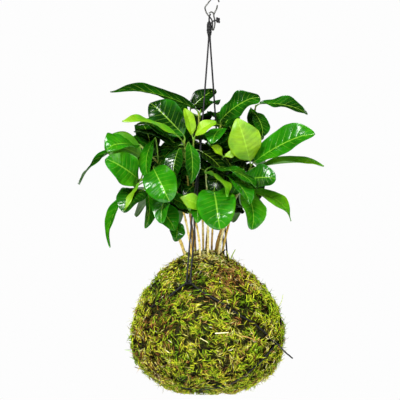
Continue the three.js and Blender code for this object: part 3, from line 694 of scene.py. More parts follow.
@dataclass(frozen=True)
class FrondFinish:
    """Fronds of sheet moss, dead brown, olive, green and yellow; their fine scales make them soft and matt.

    Attributes:
        name: The material's name.
        hues: From peat brown, at 0, through straw, olive and green to yellow and bleached tips, at 1.
        depth_shades: Painted shade that darkens a frond, from deep in the moss, at 0, to its top, at 1.
        flecks: What flecks darken it by.
        fleck_mm: Width of the flecks, drawn coarser than the scales, so that they show.
        gloss_mm: Width of the duller places.
        rough: Roughness, least and most.
        ior: The scales' index of refraction.
        shine: The shader's specular level, low because scales hide the light from one another.
    """

    name: str = "moss_hypnum_fronds"
    hues: Stops = (
        (0.0, "#241a0c"), (0.12, "#684120"), (0.22, "#a56c34"), (0.32, "#dcb064"), (0.42, "#687012"),
        (0.58, "#82b616"), (0.74, "#c6da26"), (0.88, "#f2ea3e"), (1.0, "#f8f0c4"),
    )
    depth_shades: Stops = ((0.0, "#100e05"), (0.5, "#78785a"), (1.0, "#ffffff"))
    flecks: Stops = ((0.3, "#a8a8a0"), (0.7, "#ffffff"))
    fleck_mm: float = 2.0
    gloss_mm: float = 4.0
    rough: tuple[float, float] = (0.6, 0.85)
    ior: float = 1.4
    shine: float = 0.2

    def make(self) -> bpy.types.Material:
        """Makes the material, which reads each frond's own hue and its depth mark, by which it paints shade
        deep in the moss.

        Returns:
            The material.
        """
        t = new_tree(self.name)
        hue, depth = (t.add(Node.MARK, attribute_name=mark) for mark in ("hue", "depth"))
        colour, shade = t.add(Node.RAMP, hue, stops=self.hues), t.add(Node.RAMP, depth, stops=self.depth_shades)
        fleck = t.add(Node.RAMP, t.grain(self.fleck_mm, 3), stops=self.flecks)
        # The hue is darkened by the depth mark: painted shade deep in the moss.
        return t.surface({
            "Base Color": t.add(Node.DARKEN, 0.4, t.add(Node.DARKEN, 1.0, colour, shade), fleck),
            "Roughness": t.add(Node.RANGE, t.grain(self.gloss_mm, 2), 0.0, 1.0, *self.rough),
            "IOR": self.ior, "Specular IOR Level": self.shine,
        })


@dataclass(frozen=True)
class BackdropFinish:
    """Matt white paint on board, with faint patches as wide as a roller."""

    name: str = "backdrop_matt_white_paint"
    whites: Stops = ((0.3, "#efefef"), (0.7, "#f7f7f7"))
    patch_mm: float = 400.0
    rough: float = 0.9

    def make(self) -> bpy.types.Material:
        """Makes the material.

        Returns:
            The material.
        """
        t = new_tree(self.name)
        white = t.add(Node.RAMP, t.grain(self.patch_mm, 2), stops=self.whites)
        return t.surface({"Base Color": white, "Roughness": self.rough})


class Finish(Enum):
    """The finishes, each made once."""

    BLADE = BladeFinish()
    BARK = BarkFinish()
    MAT = MatFinish()
    FROND = FrondFinish()
    CORD = CordFinish()
    WIRE = WireFinish()
    BACKDROP = BackdropFinish()

    def material(self) -> bpy.types.Material:
        """Returns the material, and makes it the first time."""
        return bpy.data.materials.get(self.value.name) or self.value.make()


# ------------------------------------------------------------------------------------------------- the ball


@dataclass(frozen=True)
class BallForm:
    """The outline of the moss ball: the frame's, with places where the moss is thicker or thinner.

    Attributes:
        radius: Radius of the widest ring.
        waist: Height of the widest ring.
        rise: From the waist to the crown.
        drop: From the waist to the lowest point before the foot is cut.
        foot: Height of the flat foot.
        shoulder: Exponents of the upper half's outline.
        belly: Exponents of the lower half's outline.
        relief: Height of the low swells.
        neck: Where the raised neck is, how high and how wide.
        bulges: Those places: degrees round, height, spread and how much.
        step: Height over which the outline's slope is measured.
        steepest: The most that the radius is taken to change by over one millimetre of height.
    """

    radius: float = 96.0
    waist: float = -421.0
    rise: float = 105.0
    drop: float = 76.0
    foot: float = -494.0
    shoulder: tuple[float, float] = (1.7, 0.65)
    belly: tuple[float, float] = (2.2, 0.5)
    relief: float = 1.5
    neck: tuple[float, float, float, float] = (-5.0, 2.0, 6.0, 27.0)
    bulges: tuple[tuple[float, float, float, float], ...] = (
        (-78, -338, 26, 4.5), (-82, -370, 24, 3.0), (0, -317, 24, -6.0), (-20, -330, 14, 1.5),
        (78, -338, 26, -2.5), (-60, -372, 22, 1.5), (150, -400, 30, 2.0), (-55, -484, 24, -2.5),
        (50, -482, 24, -2.5), (130, -480, 26, -1.5), (-90, -420, 40, -2.0), (90, -415, 44, -2.5),
    )
    step: float = 0.5
    steepest: float = 12.0

    def radius_at(self, z: Array) -> Array:
        """Gives the ball's radius, swells left out.

        Args:
            z: Heights.

        Returns:
            The radius at each.
        """
        upper = z > self.waist
        height = np.where(upper, self.rise, self.drop)
        p = np.where(upper, self.shoulder[0], self.belly[0])
        q = np.where(upper, self.shoulder[1], self.belly[1])
        t = np.minimum(np.abs(z - self.waist) / height, 1.0)
        return self.radius * np.maximum(1 - t**p, 0) ** q

    def swell(self, turn: Array, z: Array) -> Array:
        """Returns how far the low swells of the moss stand out, at radians round and heights."""
        waves = 0.5 * np.sin(3 * turn + z / 17) + 0.3 * np.sin(5 * turn - z / 11 + 1)
        return self.relief * (waves + 0.2 * np.cos(2 * turn + z / 7))

    def lift(self, x: Array, y: Array, z: Array) -> Array:
        """Gives how far the neck lifts the crown.

        Args:
            x: Places from left to right.
            y: Places from front to back.
            z: Heights.

        Returns:
            The lift at each.
        """
        nx, ny, rise, spread = self.neck
        away = np.hypot(x - nx, y - ny) / spread
        return np.where(z < self.waist + self.rise / 2, 0.0, rise * np.exp(-away * away))

    def place(self, turn: Array, z: Array, out: Array | float) -> Array:
        """Returns places that stand so far out of the moss, at radians round to the right and heights."""
        reach = self.radius_at(z) + self.swell(turn, z) + out
        return np.stack([reach * np.sin(turn), -reach * np.cos(turn), z + 0 * reach], -1)

    def rooted(self, turn: Array, z: Array) -> tuple[Array, Array]:
        """Gives places on the skin, with the neck and the bulges.

        Args:
            turn: Radians round from the front.
            z: Heights.

        Returns:
            The places, and the way that the skin faces at each.
        """
        p = self.place(turn, z, 0.0)
        above = np.minimum(z + self.step, self.waist + self.rise - 0.01)
        slope = (self.radius_at(above) - self.radius_at(z - self.step)) / (2 * self.step)
        slope = np.clip(slope, -self.steepest, self.steepest)
        face = unit(np.stack([np.sin(turn), -np.cos(turn), -slope], -1))
        p[:, 2] += self.lift(p[:, 0], p[:, 1], p[:, 2])
        for degrees, height, spread, much in self.bulges:
            at = self.place(np.array([math.radians(degrees)]), np.array([float(height)]), 0.0)
            p += face * (much * np.exp(-((np.linalg.norm(p - at, axis=1) / spread) ** 2)))[:, None]
        return p, face


BALL = BallForm()


@dataclass(frozen=True)
class Layer:
    """One depth of moss strands.

    Attributes:
        count: How many strands are sown.
        lift: Height of their roots over the outline.
        shade: How light they are, least and most; painted shade, darker in the lower layers.
        radius: Radius where a strand is thickest, least and most.
        length: Their length, least and most.
        tilt: Degrees that they stand up by, the mean and the spread.
        floor: Strands sown on lower ground than this don't grow.
        parted: Whether they leave the grooves and the string's bare stretches free.
    """

    count: int
    lift: float
    shade: tuple[float, float]
    radius: tuple[float, float]
    length: tuple[float, float]
    tilt: tuple[float, float]
    floor: float = -math.inf
    parted: bool = True


@dataclass(frozen=True)
class Patch:
    """A patch of moss of another hue.

    Attributes:
        turn: Degrees round from the front.
        z: Height.
        spread: How wide it is.
        hue: Its hue on the strands' ramp.
        share: Share of its strands that have the hue.
    """

    turn: float
    z: float
    spread: float
    hue: float
    share: float


# The lower layers have lower shades: painted shade deep in the moss.
LAYERS = [
    Layer(17000, -2.4, (0.0, 0.4), (0.45, 0.7), (5, 9), (6, 8), parted=False),
    Layer(18000, -1.3, (0.25, 0.75), (0.4, 0.62), (5, 10), (10, 9), -0.9),
    Layer(20000, -0.4, (0.85, 1.0), (0.36, 0.6), (6, 12), (12, 12), -0.3),
    Layer(700, 0.0, (0.5, 1.0), (0.2, 0.34), (8, 14), (50, 14)),
]
PATCHES = [
    Patch(29, -345, 17, 0.22, 0.7), Patch(8, -372, 17, 0.33, 0.5), Patch(-5, -344, 8, 0.14, 0.5),
    Patch(-65, -422, 10, 0.14, 0.7), Patch(-34, -412, 10, 0.2, 0.65), Patch(-52, -467, 12, 0.13, 0.7),
    Patch(21, -402, 8, 0.24, 0.6), Patch(40, -425, 9, 0.31, 0.5), Patch(12, -480, 26, 0.88, 0.55),
    Patch(-12, -365, 9, 0.6, 0.7), Patch(-30, -357, 13, 0.58, 0.6), Patch(15, -395, 9, 0.56, 0.7),
    Patch(-70, -442, 11, 0.62, 0.7), Patch(32, -418, 9, 0.6, 0.6), Patch(58, -380, 15, 0.6, 0.5),
    Patch(120, -380, 18, 0.2, 0.6), Patch(165, -430, 16, 0.3, 0.5), Patch(-130, -400, 16, 0.18, 0.6),
    Patch(-160, -350, 14, 0.3, 0.5), Patch(95, -450, 14, 0.15, 0.6), Patch(-100, -360, 14, 0.3, 0.45),
    # The first two patches here, on the crown, are partly its own yellow moss and partly painted light,
    # paler and yellower where the leaves cast their shadow.
    Patch(0, -322, 30, 0.93, 0.9), Patch(-50, -340, 18, 0.88, 0.6), Patch(60, -335, 16, 0.32, 0.5),
    Patch(-48, -402, 26, 0.17, 0.45), Patch(-66, -440, 18, 0.14, 0.5), Patch(36, -352, 18, 0.2, 0.5),
]
# Where the sheets of moss part: degrees round and height of the upper end, and the same of the lower one.
GROOVES = [
    (32, -356, 32, -391), (-7, -372, -9, -396), (3, -412, 3, -447), (-2, -402, -7, -455),
    (-24, -394, -25, -438), (21, -427, 15, -454), (46, -408, 50, -430), (-17, -455, -15, -468),
    (-50, -385, -55, -415), (62, -365, 66, -400), (80, -420, 76, -450), (-78, -430, -72, -460),
    (100, -370, 98, -405), (125, -400, 130, -440), (150, -360, 148, -392), (172, -405, 176, -445),
    (-165, -385, -160, -420), (-140, -425, -143, -460), (-120, -360, -118, -388), (-98, -400, -95, -432),
    (110, -440, 116, -468), (-30, -345, -42, -352), (190, -350, 196, -366), (-39, -367, -71, -393),
]


# A strand has two rings of three corners and a tip.
FROND_FACES = np.array([
    [0, 1, 4], [0, 4, 3], [1, 2, 5], [1, 5, 4], [2, 0, 3], [2, 3, 5], [3, 4, 6], [4, 5, 6], [5, 3, 6],
])
FROND_DARKER = np.array([0.3] * 3 + [0.08] * 3 + [0.0])  # how much deeper in shade than the tip each one is
FROND_MAP = np.array([[0.2, 0.2], [0.5, 0.2], [0.8, 0.2], [0.2, 0.5], [0.5, 0.5], [0.8, 0.5], [0.5, 0.8]])
FROND_CORNERS = len(FROND_MAP)


@dataclass
class MossBall:
    """The skin of moss: a pressed mat with strands lying over one another on it, and what is caught in them.

    Attributes:
        mat_inset: How far the mat lies under the outline, so that the strands make up the rest.
        clump: Width of a clump of strands.
        rise: How much higher a clump stands than the gaps round it.
        groove: Half the width of a groove.
        groove_points: How many places along a groove are measured from.
        string_room: How near a strand may come to the middle of the bare string.
        mat_rows: Rows of the mat's mesh, from the foot to the crown.
        mat_columns: Places round the mat's mesh.
        mat_bump: The most that the mat swells up.
        hue: The hue of the moss at large, on the strands' ramp.
        dead_below: Strands that draw a lower number than this are dead and brown.
        bleached_above: Strands that draw a higher number than this are bleached.
        pieces: How many pieces the strands are split into.
        seed: Chooses the growth.
    """

    mat_inset: float = 3.0
    clump: float = 7.0
    rise: float = 1.1
    groove: float = 1.5
    groove_points: int = 24
    string_room: float = 2.3
    mat_rows: int = 130
    mat_columns: int = 220
    mat_bump: float = 1.2
    hue: float = 0.73
    dead_below: float = 0.16
    bleached_above: float = 0.988
    pieces: int = 4
    seed: int = 31

    def scatter(self, rng: np.random.Generator, count: int) -> tuple[Array, Array]:
        """Picks places evenly over the ball's skin.

        Args:
            rng: The random numbers.
            count: How many places to pick.

        Returns:
            Radians round and heights.
        """
        z = np.linspace(BALL.foot, BALL.waist + BALL.rise - 0.05, 2400)
        r = BALL.radius_at(z)
        area = np.concatenate([[0], np.cumsum(0.5 * (r[1:] + r[:-1]) * np.hypot(np.diff(r), np.diff(z)))])
        return rng.uniform(-math.pi, math.pi, count), np.interp(rng.uniform(0, area[-1], count), area, z)

    def mat(self) -> bpy.types.Object:
        """Makes the mat under the strands.

        Returns:
            The piece.
        """
        skin = Skin()
        columns = self.mat_columns
        half = self.mat_rows // 2
        low = BALL.waist - (BALL.waist - BALL.foot) * np.cos(np.linspace(0.02, math.pi / 2, half))
        top = BALL.waist + (BALL.rise - 0.4) * np.sin(np.linspace(0.01, math.pi / 2, half))
        z = np.concatenate([low, top])
        turn = FULL_TURN * np.arange(columns) / columns
        p, face = BALL.rooted(np.tile(turn, len(z)), np.repeat(z, columns))
        bump = 1.1 * wander(p, 9, 5) + 0.6 * wander(p, 4, 6)
        p = p + face * (np.minimum(bump, self.mat_bump) - self.mat_inset)[:, None]
        p[:, 2] = np.maximum(p[:, 2], BALL.foot)
        below, above = np.array([[0, 0, BALL.foot]]), np.array([[0, 0, p[:, 2][-columns:].mean()]])
        ring, last = np.arange(columns), len(p)
        after = (ring + 1) % columns
        caps = np.vstack([
            np.stack([np.full(columns, last), after, ring], -1),
            np.stack([np.full(columns, last + 1), ring + last - columns, after + last - columns], -1),
        ])
        skin.add(np.vstack([p, below, above]), grid_quads(len(z), columns, closed=True), caps)
        return skin.build("moss_mat", Finish.MAT, ["moss_skin", "soil_core"])

    def grooved(self, root: Array) -> Array:
        """Tells which places lie in a groove.

        Args:
            root: Places on strands.

        Returns:
            Whether each one does.
        """
        found = np.zeros(len(root), bool)
        wobble = self.groove * (1 + 0.5 * wander(root, 5, 77))
        for first, top, last, low in GROOVES:
            turns = np.radians(np.linspace(first, last, self.groove_points))
            for at in BALL.rooted(turns, np.linspace(top, low, self.groove_points))[0]:
                found |= np.linalg.norm(root - at, axis=1) < wobble
        return found

    def hues(self, rng: np.random.Generator, root: Array) -> Array:
        """Picks each strand's hue, from the patch that it grows in or from the moss at large.

        Args:
            rng: The random numbers.
            root: Where each strand is rooted.

        Returns:
            Their hues on the strands' ramp.
        """
        n = len(root)
        hue = np.clip(self.hue + 0.08 * wander(root, 22, 12) + 0.1 * rng.normal(size=n), 0.4, 0.95)
        for patch in PATCHES:
            at = BALL.rooted(np.array([math.radians(patch.turn)]), np.array([float(patch.z)]))[0]
            near = np.exp(-((np.linalg.norm(root - at, axis=1) / patch.spread) ** 2))
            taken = rng.uniform(size=n) < patch.share * near
            hue = np.where(taken, patch.hue + 0.04 * rng.normal(size=n), hue)
        drawn = rng.uniform(size=n)
        hue = np.where(drawn < self.dead_below, rng.uniform(0.1, 0.36, n), hue)
        return np.clip(np.where(drawn > self.bleached_above, 1.0, hue), 0.02, 1.0)

    def sown(self, rng: np.random.Generator, layer: Layer, bare: KDTree) -> tuple[Array, Array, Array]:
        """Grows one layer.

        Args:
            rng: The random numbers.
            layer: The layer.
            bare: Places on the string that the parted layers don't cover.

        Returns:
            Seven corners for each strand, and each strand's hue and shade.
        """
        n = layer.count
        root, out = BALL.rooted(*self.scatter(rng, n))
        ground = wander(root, self.clump, 3) + 0.35 * wander(root, 2.6, 4)
        side = unit(np.cross(out, [0.0, 0.0, 1.0]) + 1e-9)
        rise = -np.cross(side, out)
        course = FULL_TURN * (0.5 + 0.35 * wander(root, 16, 9)) + rng.normal(0, 0.75, n)
        way = side * np.cos(course)[:, None] + rise * np.sin(course)[:, None]
        across = np.cross(out, way)
        tilt = np.radians(rng.normal(*layer.tilt, n))
        bend, veer = np.radians(rng.normal(18, 14, n)), np.radians(rng.normal(0, 34, n))
        length, radius = rng.uniform(*layer.length, n), rng.uniform(*layer.radius, n)
        start = root + out * (layer.lift + self.rise * ground)[:, None]
        lead = way * np.cos(tilt)[:, None] + out * np.sin(tilt)[:, None]
        middle = start + lead * (0.5 * length)[:, None]
        tail = (way * np.cos(veer)[:, None] + across * np.sin(veer)[:, None]) * np.cos(tilt - bend)[:, None]
        end = middle + (tail + out * np.sin(tilt - bend)[:, None]) * (0.5 * length)[:, None]
        up = unit(np.cross(across, lead))
        turns = FULL_TURN * np.arange(3) / 3
        ring = across[:, None] * np.cos(turns)[None, :, None] + up[:, None] * np.sin(turns)[None, :, None]
        low = start[:, None] + ring * (0.7 * radius)[:, None, None]
        thick = middle[:, None] + ring * radius[:, None, None]
        places = np.concatenate([low, thick, end[:, None]], 1)
        places[..., 2] = np.maximum(places[..., 2], BALL.foot - 1.0)
        keep = ground > layer.floor
        if layer.parted:
            for spot in (start, middle, end):
                keep &= ~self.grooved(spot)
                keep &= np.array([bare.find(at)[2] > self.string_room for at in spot])
        hue, shade = self.hues(rng, root), rng.uniform(*layer.shade, n)
        return places[keep], hue[keep], shade[keep]

    def grow(self, bare: Array) -> list[bpy.types.Object]:
        """Makes the strands.

        Args:
            bare: Places on the string that stay in sight.

        Returns:
            The pieces.
        """
        rng = np.random.default_rng(self.seed)
        tree = KDTree(len(bare))
        for number, at in enumerate(bare):
            tree.insert(at, number)
        tree.balance()
        grown = [self.sown(rng, layer, tree) for layer in LAYERS]
        places, hue, shade = (np.concatenate(part) for part in zip(*grown))
        order = rng.permutation(len(places))
        made = []
        for index, part in enumerate(np.array_split(order, self.pieces)):
            skin = Skin()
            count = len(part)
            cells = math.ceil(math.sqrt(count))
            cell = np.stack([np.arange(count) % cells, np.arange(count) // cells], -1) / cells
            # Each corner's depth mark is its strand's shade, lower towards the root: painted shade.
            depth = np.clip(shade[part][:, None] - FROND_DARKER, 0, 1)
            first = FROND_CORNERS * np.arange(count)[:, None, None]
            skin.add(
                places[part].reshape(-1, 3), tris=(FROND_FACES[None] + first).reshape(-1, 3),
                marks={"hue": np.repeat(hue[part], FROND_CORNERS), "depth": depth.ravel()},
                maps={"OFBake": (cell[:, None] + FROND_MAP[None] / cells).reshape(-1, 2)},
            )
            made.append(skin.build(f"moss_fronds_{index + 1}", Finish.FROND, ["moss_skin"]))
        return made

    def litter(self) -> bpy.types.Object:
        """Makes the straws, twigs and grass caught in the moss.

        Returns:
            The piece.
        """
        skin = Skin()
        for line, radius, hue in LITTER:
            path = catmull_rom(line, 10)
            thinning = np.linspace(radius, 0.6 * radius, len(path))
            sweep(skin, path, thinning, 6, marks={"hue": hue, "depth": 0.95})
        return skin.build("moss_litter", Finish.FROND, ["moss_skin"])


# Each straw, twig or blade of grass: its line, its radius and its hue on the strands' ramp.
LITTER = [
    (((9, -97.9, -416.4), (17, -97.2, -416), (25, -95.2, -415.6)), 0.75, 1.0),
    (((-9.5, -98.0, -422.4), (-5, -98.4, -425), (0, -98.2, -428)), 0.5, 0.97),
    (((42, -89.3, -420), (51, -84.6, -422.4), (60, -77.8, -427)), 0.6, 0.3),
    (((55, -82.2, -419), (57, -80.9, -423), (56, -81.2, -427)), 0.55, 0.27),
    (((27.5, -9, -328), (30.5, -9, -321), (34, -9, -314.5)), 0.9, 0.66),
    (((26, -12, -328), (25, -13, -321), (22.5, -14, -316)), 0.6, 0.8),
    (((14.5, -15, -321), (18, -16.5, -317.5), (21.5, -18, -314.5)), 0.95, 0.0),
    (((-74, -14, -466), (-82, -8, -464), (-91, -3, -461.5)), 0.8, 0.05),
    (((-88, -24, -444), (-96, -16, -441), (-104, -8, -439.5)), 0.4, 0.6),
    (((86, 20, -390), (92, 16, -380), (94, 12, -371)), 0.4, 0.72),
    (((-70, 66, -420), (-76, 72, -416), (-80, 80, -414)), 0.6, 0.05),
    (((30, 92, -432), (38, 90, -434), (46, 87, -433)), 0.7, 1.0),
]


# ----------------------------------------------------------------------------------------- string and cords


# The two rounds of string and its cut ends. A round's places are degrees round from the front and heights,
# and an end's places also say how far it stands out.
HARNESS_ROUND = [
    (-22, -355), (-8, -364), (11, -379), (23, -392), (36, -404), (47, -416), (62, -431), (92, -424),
    (125, -392), (158, -355), (172, -363), (196, -380), (222, -398), (252, -404), (284, -396), (312, -380),
    (326, -368),
]
UNDERSIDE_ROUND = [
    (50, -444), (41, -460), (34, -474), (20, -484), (-20, -487), (-62, -484), (-92, -468), (-112, -440),
    (-122, -408), (-132, -374), (-150, -348), (-182, -336), (-214, -346), (-246, -372), (-272, -398),
    (-294, -424),
]
STRING_ENDS = [
    [(58, -427, 1.4), (62, -433, 4), (67, -441, 10), (71, -449, 20)],
    [(-23, -355, 2.6), (-29, -361, 2.4), (-33, -367, 4)],
    [(157, -355, 2.6), (151, -361, 2.4), (147, -367, 4)],
]
# The boxes in which moss has grown over most of the string, from low to high each way.
OVERGROWN = [
    [(-math.inf, -24), (-math.inf, 0), (-415, math.inf)],
    [(-math.inf, 12), (-math.inf, 0), (-math.inf, -478)],
    [(60, math.inf), (-math.inf, 0), (-430, -404)],
]
KNOT_LAY = Laid(0.25, 6.5)
KNOT_SIDES = 10


@dataclass
class Binding:
    """The string bound round the ball, with its knots and cut ends.

    Attributes:
        radius: The string's radius.
        sink: The string's middle over the outline; the fronds close round it.
        low_rise: How much further out it lies on the lower half of the ball, where less moss covers it.
        hidden: How much deeper it runs at the ball's left and at the front left of its underside.
        laid: How its strands are laid.
        sides: Sides of its section.
        points: Places along a round.
        end_points: Places along a cut end.
        knot: Where the back harness knot is; the front one is opposite.
    """

    radius: float = 1.0
    sink: float = 0.7
    low_rise: float = 0.9
    hidden: float = 1.7
    laid: Laid = Laid(0.28, 6.5)
    sides: int = 12
    points: int = 520
    end_points: int = 24
    knot: Point = (24.2, 64.0, -354.0)

    def round_of(self, course: Sequence[tuple[float, float]]) -> Array:
        """Lays one round of string on the ball.

        Args:
            course: Degrees round and heights of the places that it goes through.

        Returns:
            Its closed line.
        """
        p = np.array(course, float)
        turn = math.copysign(360, p[1, 0] - p[0, 0])
        wide = np.vstack([p[-1] - [turn, 0], p, p[0] + [turn, 0], p[1] + [turn, 0]])
        t = np.linspace(0, len(p), self.points, endpoint=False)
        i = t.astype(int)
        q = between(wide[i], wide[i + 1], wide[i + 2], wide[i + 3], (t - i)[:, None])
        turns, heights = np.radians(q[:, 0]), q[:, 1]
        left = smooth((q[:, 0] - 235) / 30) * smooth((326 - q[:, 0]) / 12)
        beneath = smooth((q[:, 0] + 95) / 20) * smooth((14 - q[:, 0]) / 12) * (heights < -470)
        out = np.stack([np.sin(turns), -np.cos(turns), 0 * turns], -1)
        low = self.low_rise * smooth((-425 - heights) / 12)
        stands = self.sink + low - self.hidden * (left + beneath)
        return BALL.rooted(turns, heights)[0] + out * stands[:, None]

    def bare(self) -> Array:
        """Tells where the moss leaves the string in sight.

        Returns:
            Places along it.
        """
        line = np.vstack([self.round_of(HARNESS_ROUND), self.round_of(UNDERSIDE_ROUND)])
        low, high = np.moveaxis(np.array(OVERGROWN), -1, 0)
        inside = (line[:, None] > low) & (line[:, None] < high)
        overgrown = inside.all(-1).any(-1)
        return line[wander(line, 11, 55) > np.where(overgrown, 0.55, -0.9)]

    def make(self) -> bpy.types.Object:
        """Makes the string.

        Returns:
            The piece.
        """
        skin = Skin()
        for course in (HARNESS_ROUND, UNDERSIDE_ROUND):
            sweep(skin, self.round_of(course), self.radius, self.sides, closed=True, laid=self.laid)
        for end in STRING_ENDS:
            turns, heights, outs = np.array(end, float).T
            line = catmull_rom(BALL.place(np.radians(turns), heights, outs), self.end_points)
            sweep(skin, line, self.radius, self.sides, laid=self.laid)
        x, y, z = self.knot
        for side in (-1, 1):
            self.tie(skin, np.array([side * x, side * y, z]), side)
        return skin.build("binding_string", Finish.CORD, ["binding_string"])

    def tie(self, skin: Skin, at: Array, side: int) -> None:
        """Makes one knot: turns of string that cross over one another.

        Args:
            skin: The mesh that the knot is added to.
            at: The knot's middle.
            side: -1 for the front knot, 1 for the back one.
        """
        t = np.linspace(0, FULL_TURN, 90, endpoint=False)
        kink = 2.4 * np.sin(t) + 0.9 * np.sin(3 * t)
        for loop in (
            np.stack([4.1 * np.sin(t), 1.3 * np.sin(2 * t) * side, 2.1 * np.cos(t)], -1),
            np.stack([2.6 * np.cos(t), 1.5 * np.cos(2 * t + 0.6) * side, kink], -1),
            np.stack([1.7 * np.cos(t) + 1.2, 2.1 * np.sin(t) * side, 2.0 * np.sin(t + 0.9)], -1),
        ):
            sweep(skin, at + loop, self.radius, KNOT_SIDES, closed=True, laid=KNOT_LAY)


# Each cord's route from the top knot down to its harness knot, as the frame has it.
CORD_ROUTES = {
    "front_a": [(0.55, -1.15, -46.35), (0.45, -1.6, -57), (-5.4, -16.8, -135), (-9.9, -28.4, -196),
                (-15.5, -43, -272), (-21.8, -63, -350.3)],
    "front_b": [(0.55, 1.15, -46.35), (0.45, 0.9, -57), (-5.4, -14.2, -135), (-10.6, -25.9, -196),
                (-19.6, -42.5, -272), (-26.4, -63, -350.3)],
    "back_a": [(2.85, 1.15, -46.35), (2.95, 1.6, -57), (8.4, 16.8, -135), (12.5, 28.4, -196),
               (17.2, 43, -272), (21.8, 63, -350.3)],
    "back_b": [(2.85, -1.15, -46.35), (2.95, -0.9, -57), (8.4, 14.2, -135), (13.2, 25.9, -196),
               (20.2, 42.5, -272), (26.4, 63, -350.3)],
}


@dataclass
class HangingCords:
    """The four cords between the top knot and the harness knots, each a free cord.

    Attributes:
        radius: Half the declared diameter.
        crowns: How far its strands stand out, over that radius; with the grooves between them, the cord then
            measures its diameter.
        laid: How its strands are laid.
        sides: Sides of its section.
        step: Distance between places along it.
    """

    radius: float = 1.0
    crowns: float = 1.1
    laid: Laid = Laid(0.22, 7.0)
    sides: int = 12
    step: float = 1.0

    def make(self) -> list[bpy.types.Object]:
        """Makes the cords.

        Returns:
            The pieces.
        """
        made = []
        for name, route in CORD_ROUTES.items():
            rough = catmull_rom(route, 60)
            span = float(np.linalg.norm(np.diff(rough, axis=0), axis=1).sum())
            line = catmull_rom(route, int(span / self.step))
            skin = Skin()
            sweep(skin, line, self.radius * self.crowns, self.sides, laid=self.laid)
            piece = skin.build(f"cord_{name}", Finish.CORD, [f"hang_cord_{name}"])
            made.append(piece)
        return made


@dataclass
class TopKnot:
    """The cords' wrapping under the hook, with its loop, tail and the stopper knot on the tail.

    Attributes:
        middle: The wrapping's axis, left to right.
        top: Height of its upper end.
        bottom: Height of its lower end.
        core: Radius that the wraps' middles are wound at, at the ends.
        belly: How much further out the middle wraps are.
        pitch: Height of a wrap.
        filling: Radius of the cords in the middle of the wraps.
        radius: The cord's radius.
        wrap_radius: The same in the wraps, which are pressed a little wider.
        loop: The places that the loop over the wire goes through.
        tail: The places that the tail goes through.
        stopper: Where the knot on the tail is.
    """

    middle: float = 1.6
    top: float = -30.6
    bottom: float = -45.6
    core: float = 1.9
    belly: float = 0.6
    pitch: float = 1.95
    filling: float = 1.7
    radius: float = 1.0
    wrap_radius: float = 1.02
    loop: tuple[Point, ...] = (
        (1.9, -1.3, -32), (1.4, -2.2, -26), (2.2, -1.9, -21.9), (3.0, 0, -20.6), (2.2, 1.9, -21.9),
        (1.4, 2.2, -26), (1.6, 1.3, -32),
    )
    tail: tuple[Point, ...] = (
        (2.6, -2.0, -33), (5.4, -3.7, -30), (8.4, -4.1, -28.2), (12, -3.2, -28),
    )
    stopper: Point = (12.6, -3.2, -27.8)

    def make(self) -> bpy.types.Object:
        """Makes the knot.

        Returns:
            The piece.
        """
        skin = Skin()
        turns = (self.top - self.bottom) / self.pitch
        t = np.linspace(0, 1, int(turns * 30))
        angle = FULL_TURN * turns * t
        reach = self.core + self.belly * np.sin(math.pi * t) + 0.15 * np.sin(3.3 * angle)
        wrap = np.stack([
            self.middle + reach * np.cos(angle), reach * np.sin(angle),
            self.bottom + (self.top - self.bottom) * t + 0.35 * np.sin(angle + 0.5),
        ], -1)
        sweep(skin, wrap, self.wrap_radius, KNOT_SIDES, laid=KNOT_LAY)
        core = np.array([[self.middle, 0, self.bottom - 0.6], [self.middle, 0, self.top + 0.5]])
        sweep(skin, catmull_rom(core, 8), self.filling, 12)
        sweep(skin, catmull_rom(self.loop, 60), self.radius, KNOT_SIDES, laid=KNOT_LAY)
        sweep(skin, catmull_rom(self.tail, 36), self.radius, KNOT_SIDES, laid=KNOT_LAY)
        t = np.linspace(0, FULL_TURN, 70, endpoint=False)
        at = np.array(self.stopper)
        for loop in (
            np.stack([1.5 * np.cos(t), 1.3 * np.sin(t), 2.2 * np.cos(t + 0.7)], -1),
            np.stack([1.6 * np.cos(t + 1), 1.2 * np.sin(2 * t), 2.9 * np.sin(t)], -1),
            np.stack([1.2 * np.sin(t), 1.4 * np.cos(t), 1.2 * np.sin(2 * t) - 1.2], -1),
        ):
            sweep(skin, at + loop, self.radius, KNOT_SIDES, closed=True, laid=KNOT_LAY)
        return skin.build("top_knot", Finish.CORD, ["top_knot"])


@dataclass
class WireHook:
    """The bent wire that the plant hangs by: an open hook above, and an eye and a curl in the knot's loop.

    Attributes:
        radius: The wire's radius.
        sides: Sides of its section.
        course: The places that the wire goes through, from the hook's open end.
        curl: The places that the curl at its other end goes through.
    """

    radius: float = 0.9
    sides: int = 14
    course: tuple[Point, ...] = (
        (13.6, 0, -4.6), (12.2, 0, -0.9), (7.4, 0, 0.9), (3.4, 0, -2.2), (-0.4, 0, -7), (-3.6, 0, -11.5),
        (-3.2, 0, -15), (-1.6, 0, -19), (1.4, 0, -23), (4.6, 1.6, -27), (5.6, 3.2, -32), (5.4, 3.9, -37),
        (6.3, 3.1, -40), (7.6, 1.4, -37.5), (8.6, 0, -32), (8.2, -0.6, -26.5), (7.2, -0.6, -21.5),
        (9.0, -0.4, -17), (10.9, 0, -13), (11.6, 0, -9.5),
    )
    curl: tuple[Point, ...] = (
        (7.4, -0.6, -21.4), (6.2, -1.6, -18.6), (3.9, -2.4, -17.6), (1.6, -2.6, -18.8),
    )

    def make(self) -> bpy.types.Object:
        """Makes the hook.

        Returns:
            The piece.
        """
        skin = Skin()
        sweep(skin, catmull_rom(self.course, 190), self.radius, self.sides)
        sweep(skin, catmull_rom(self.curl, 28), self.radius, self.sides)
        return skin.build("wire_hook", Finish.WIRE, ["wire_hook"])


# ----------------------------------------------------------------------------------------------- the coffee


CROWN = BALL.waist + BALL.rise + BALL.neck[2] + 3  # height under which a stem runs straight, in the moss
STEM_STEPS = 8  # straight lengths that the frame's stems are made of


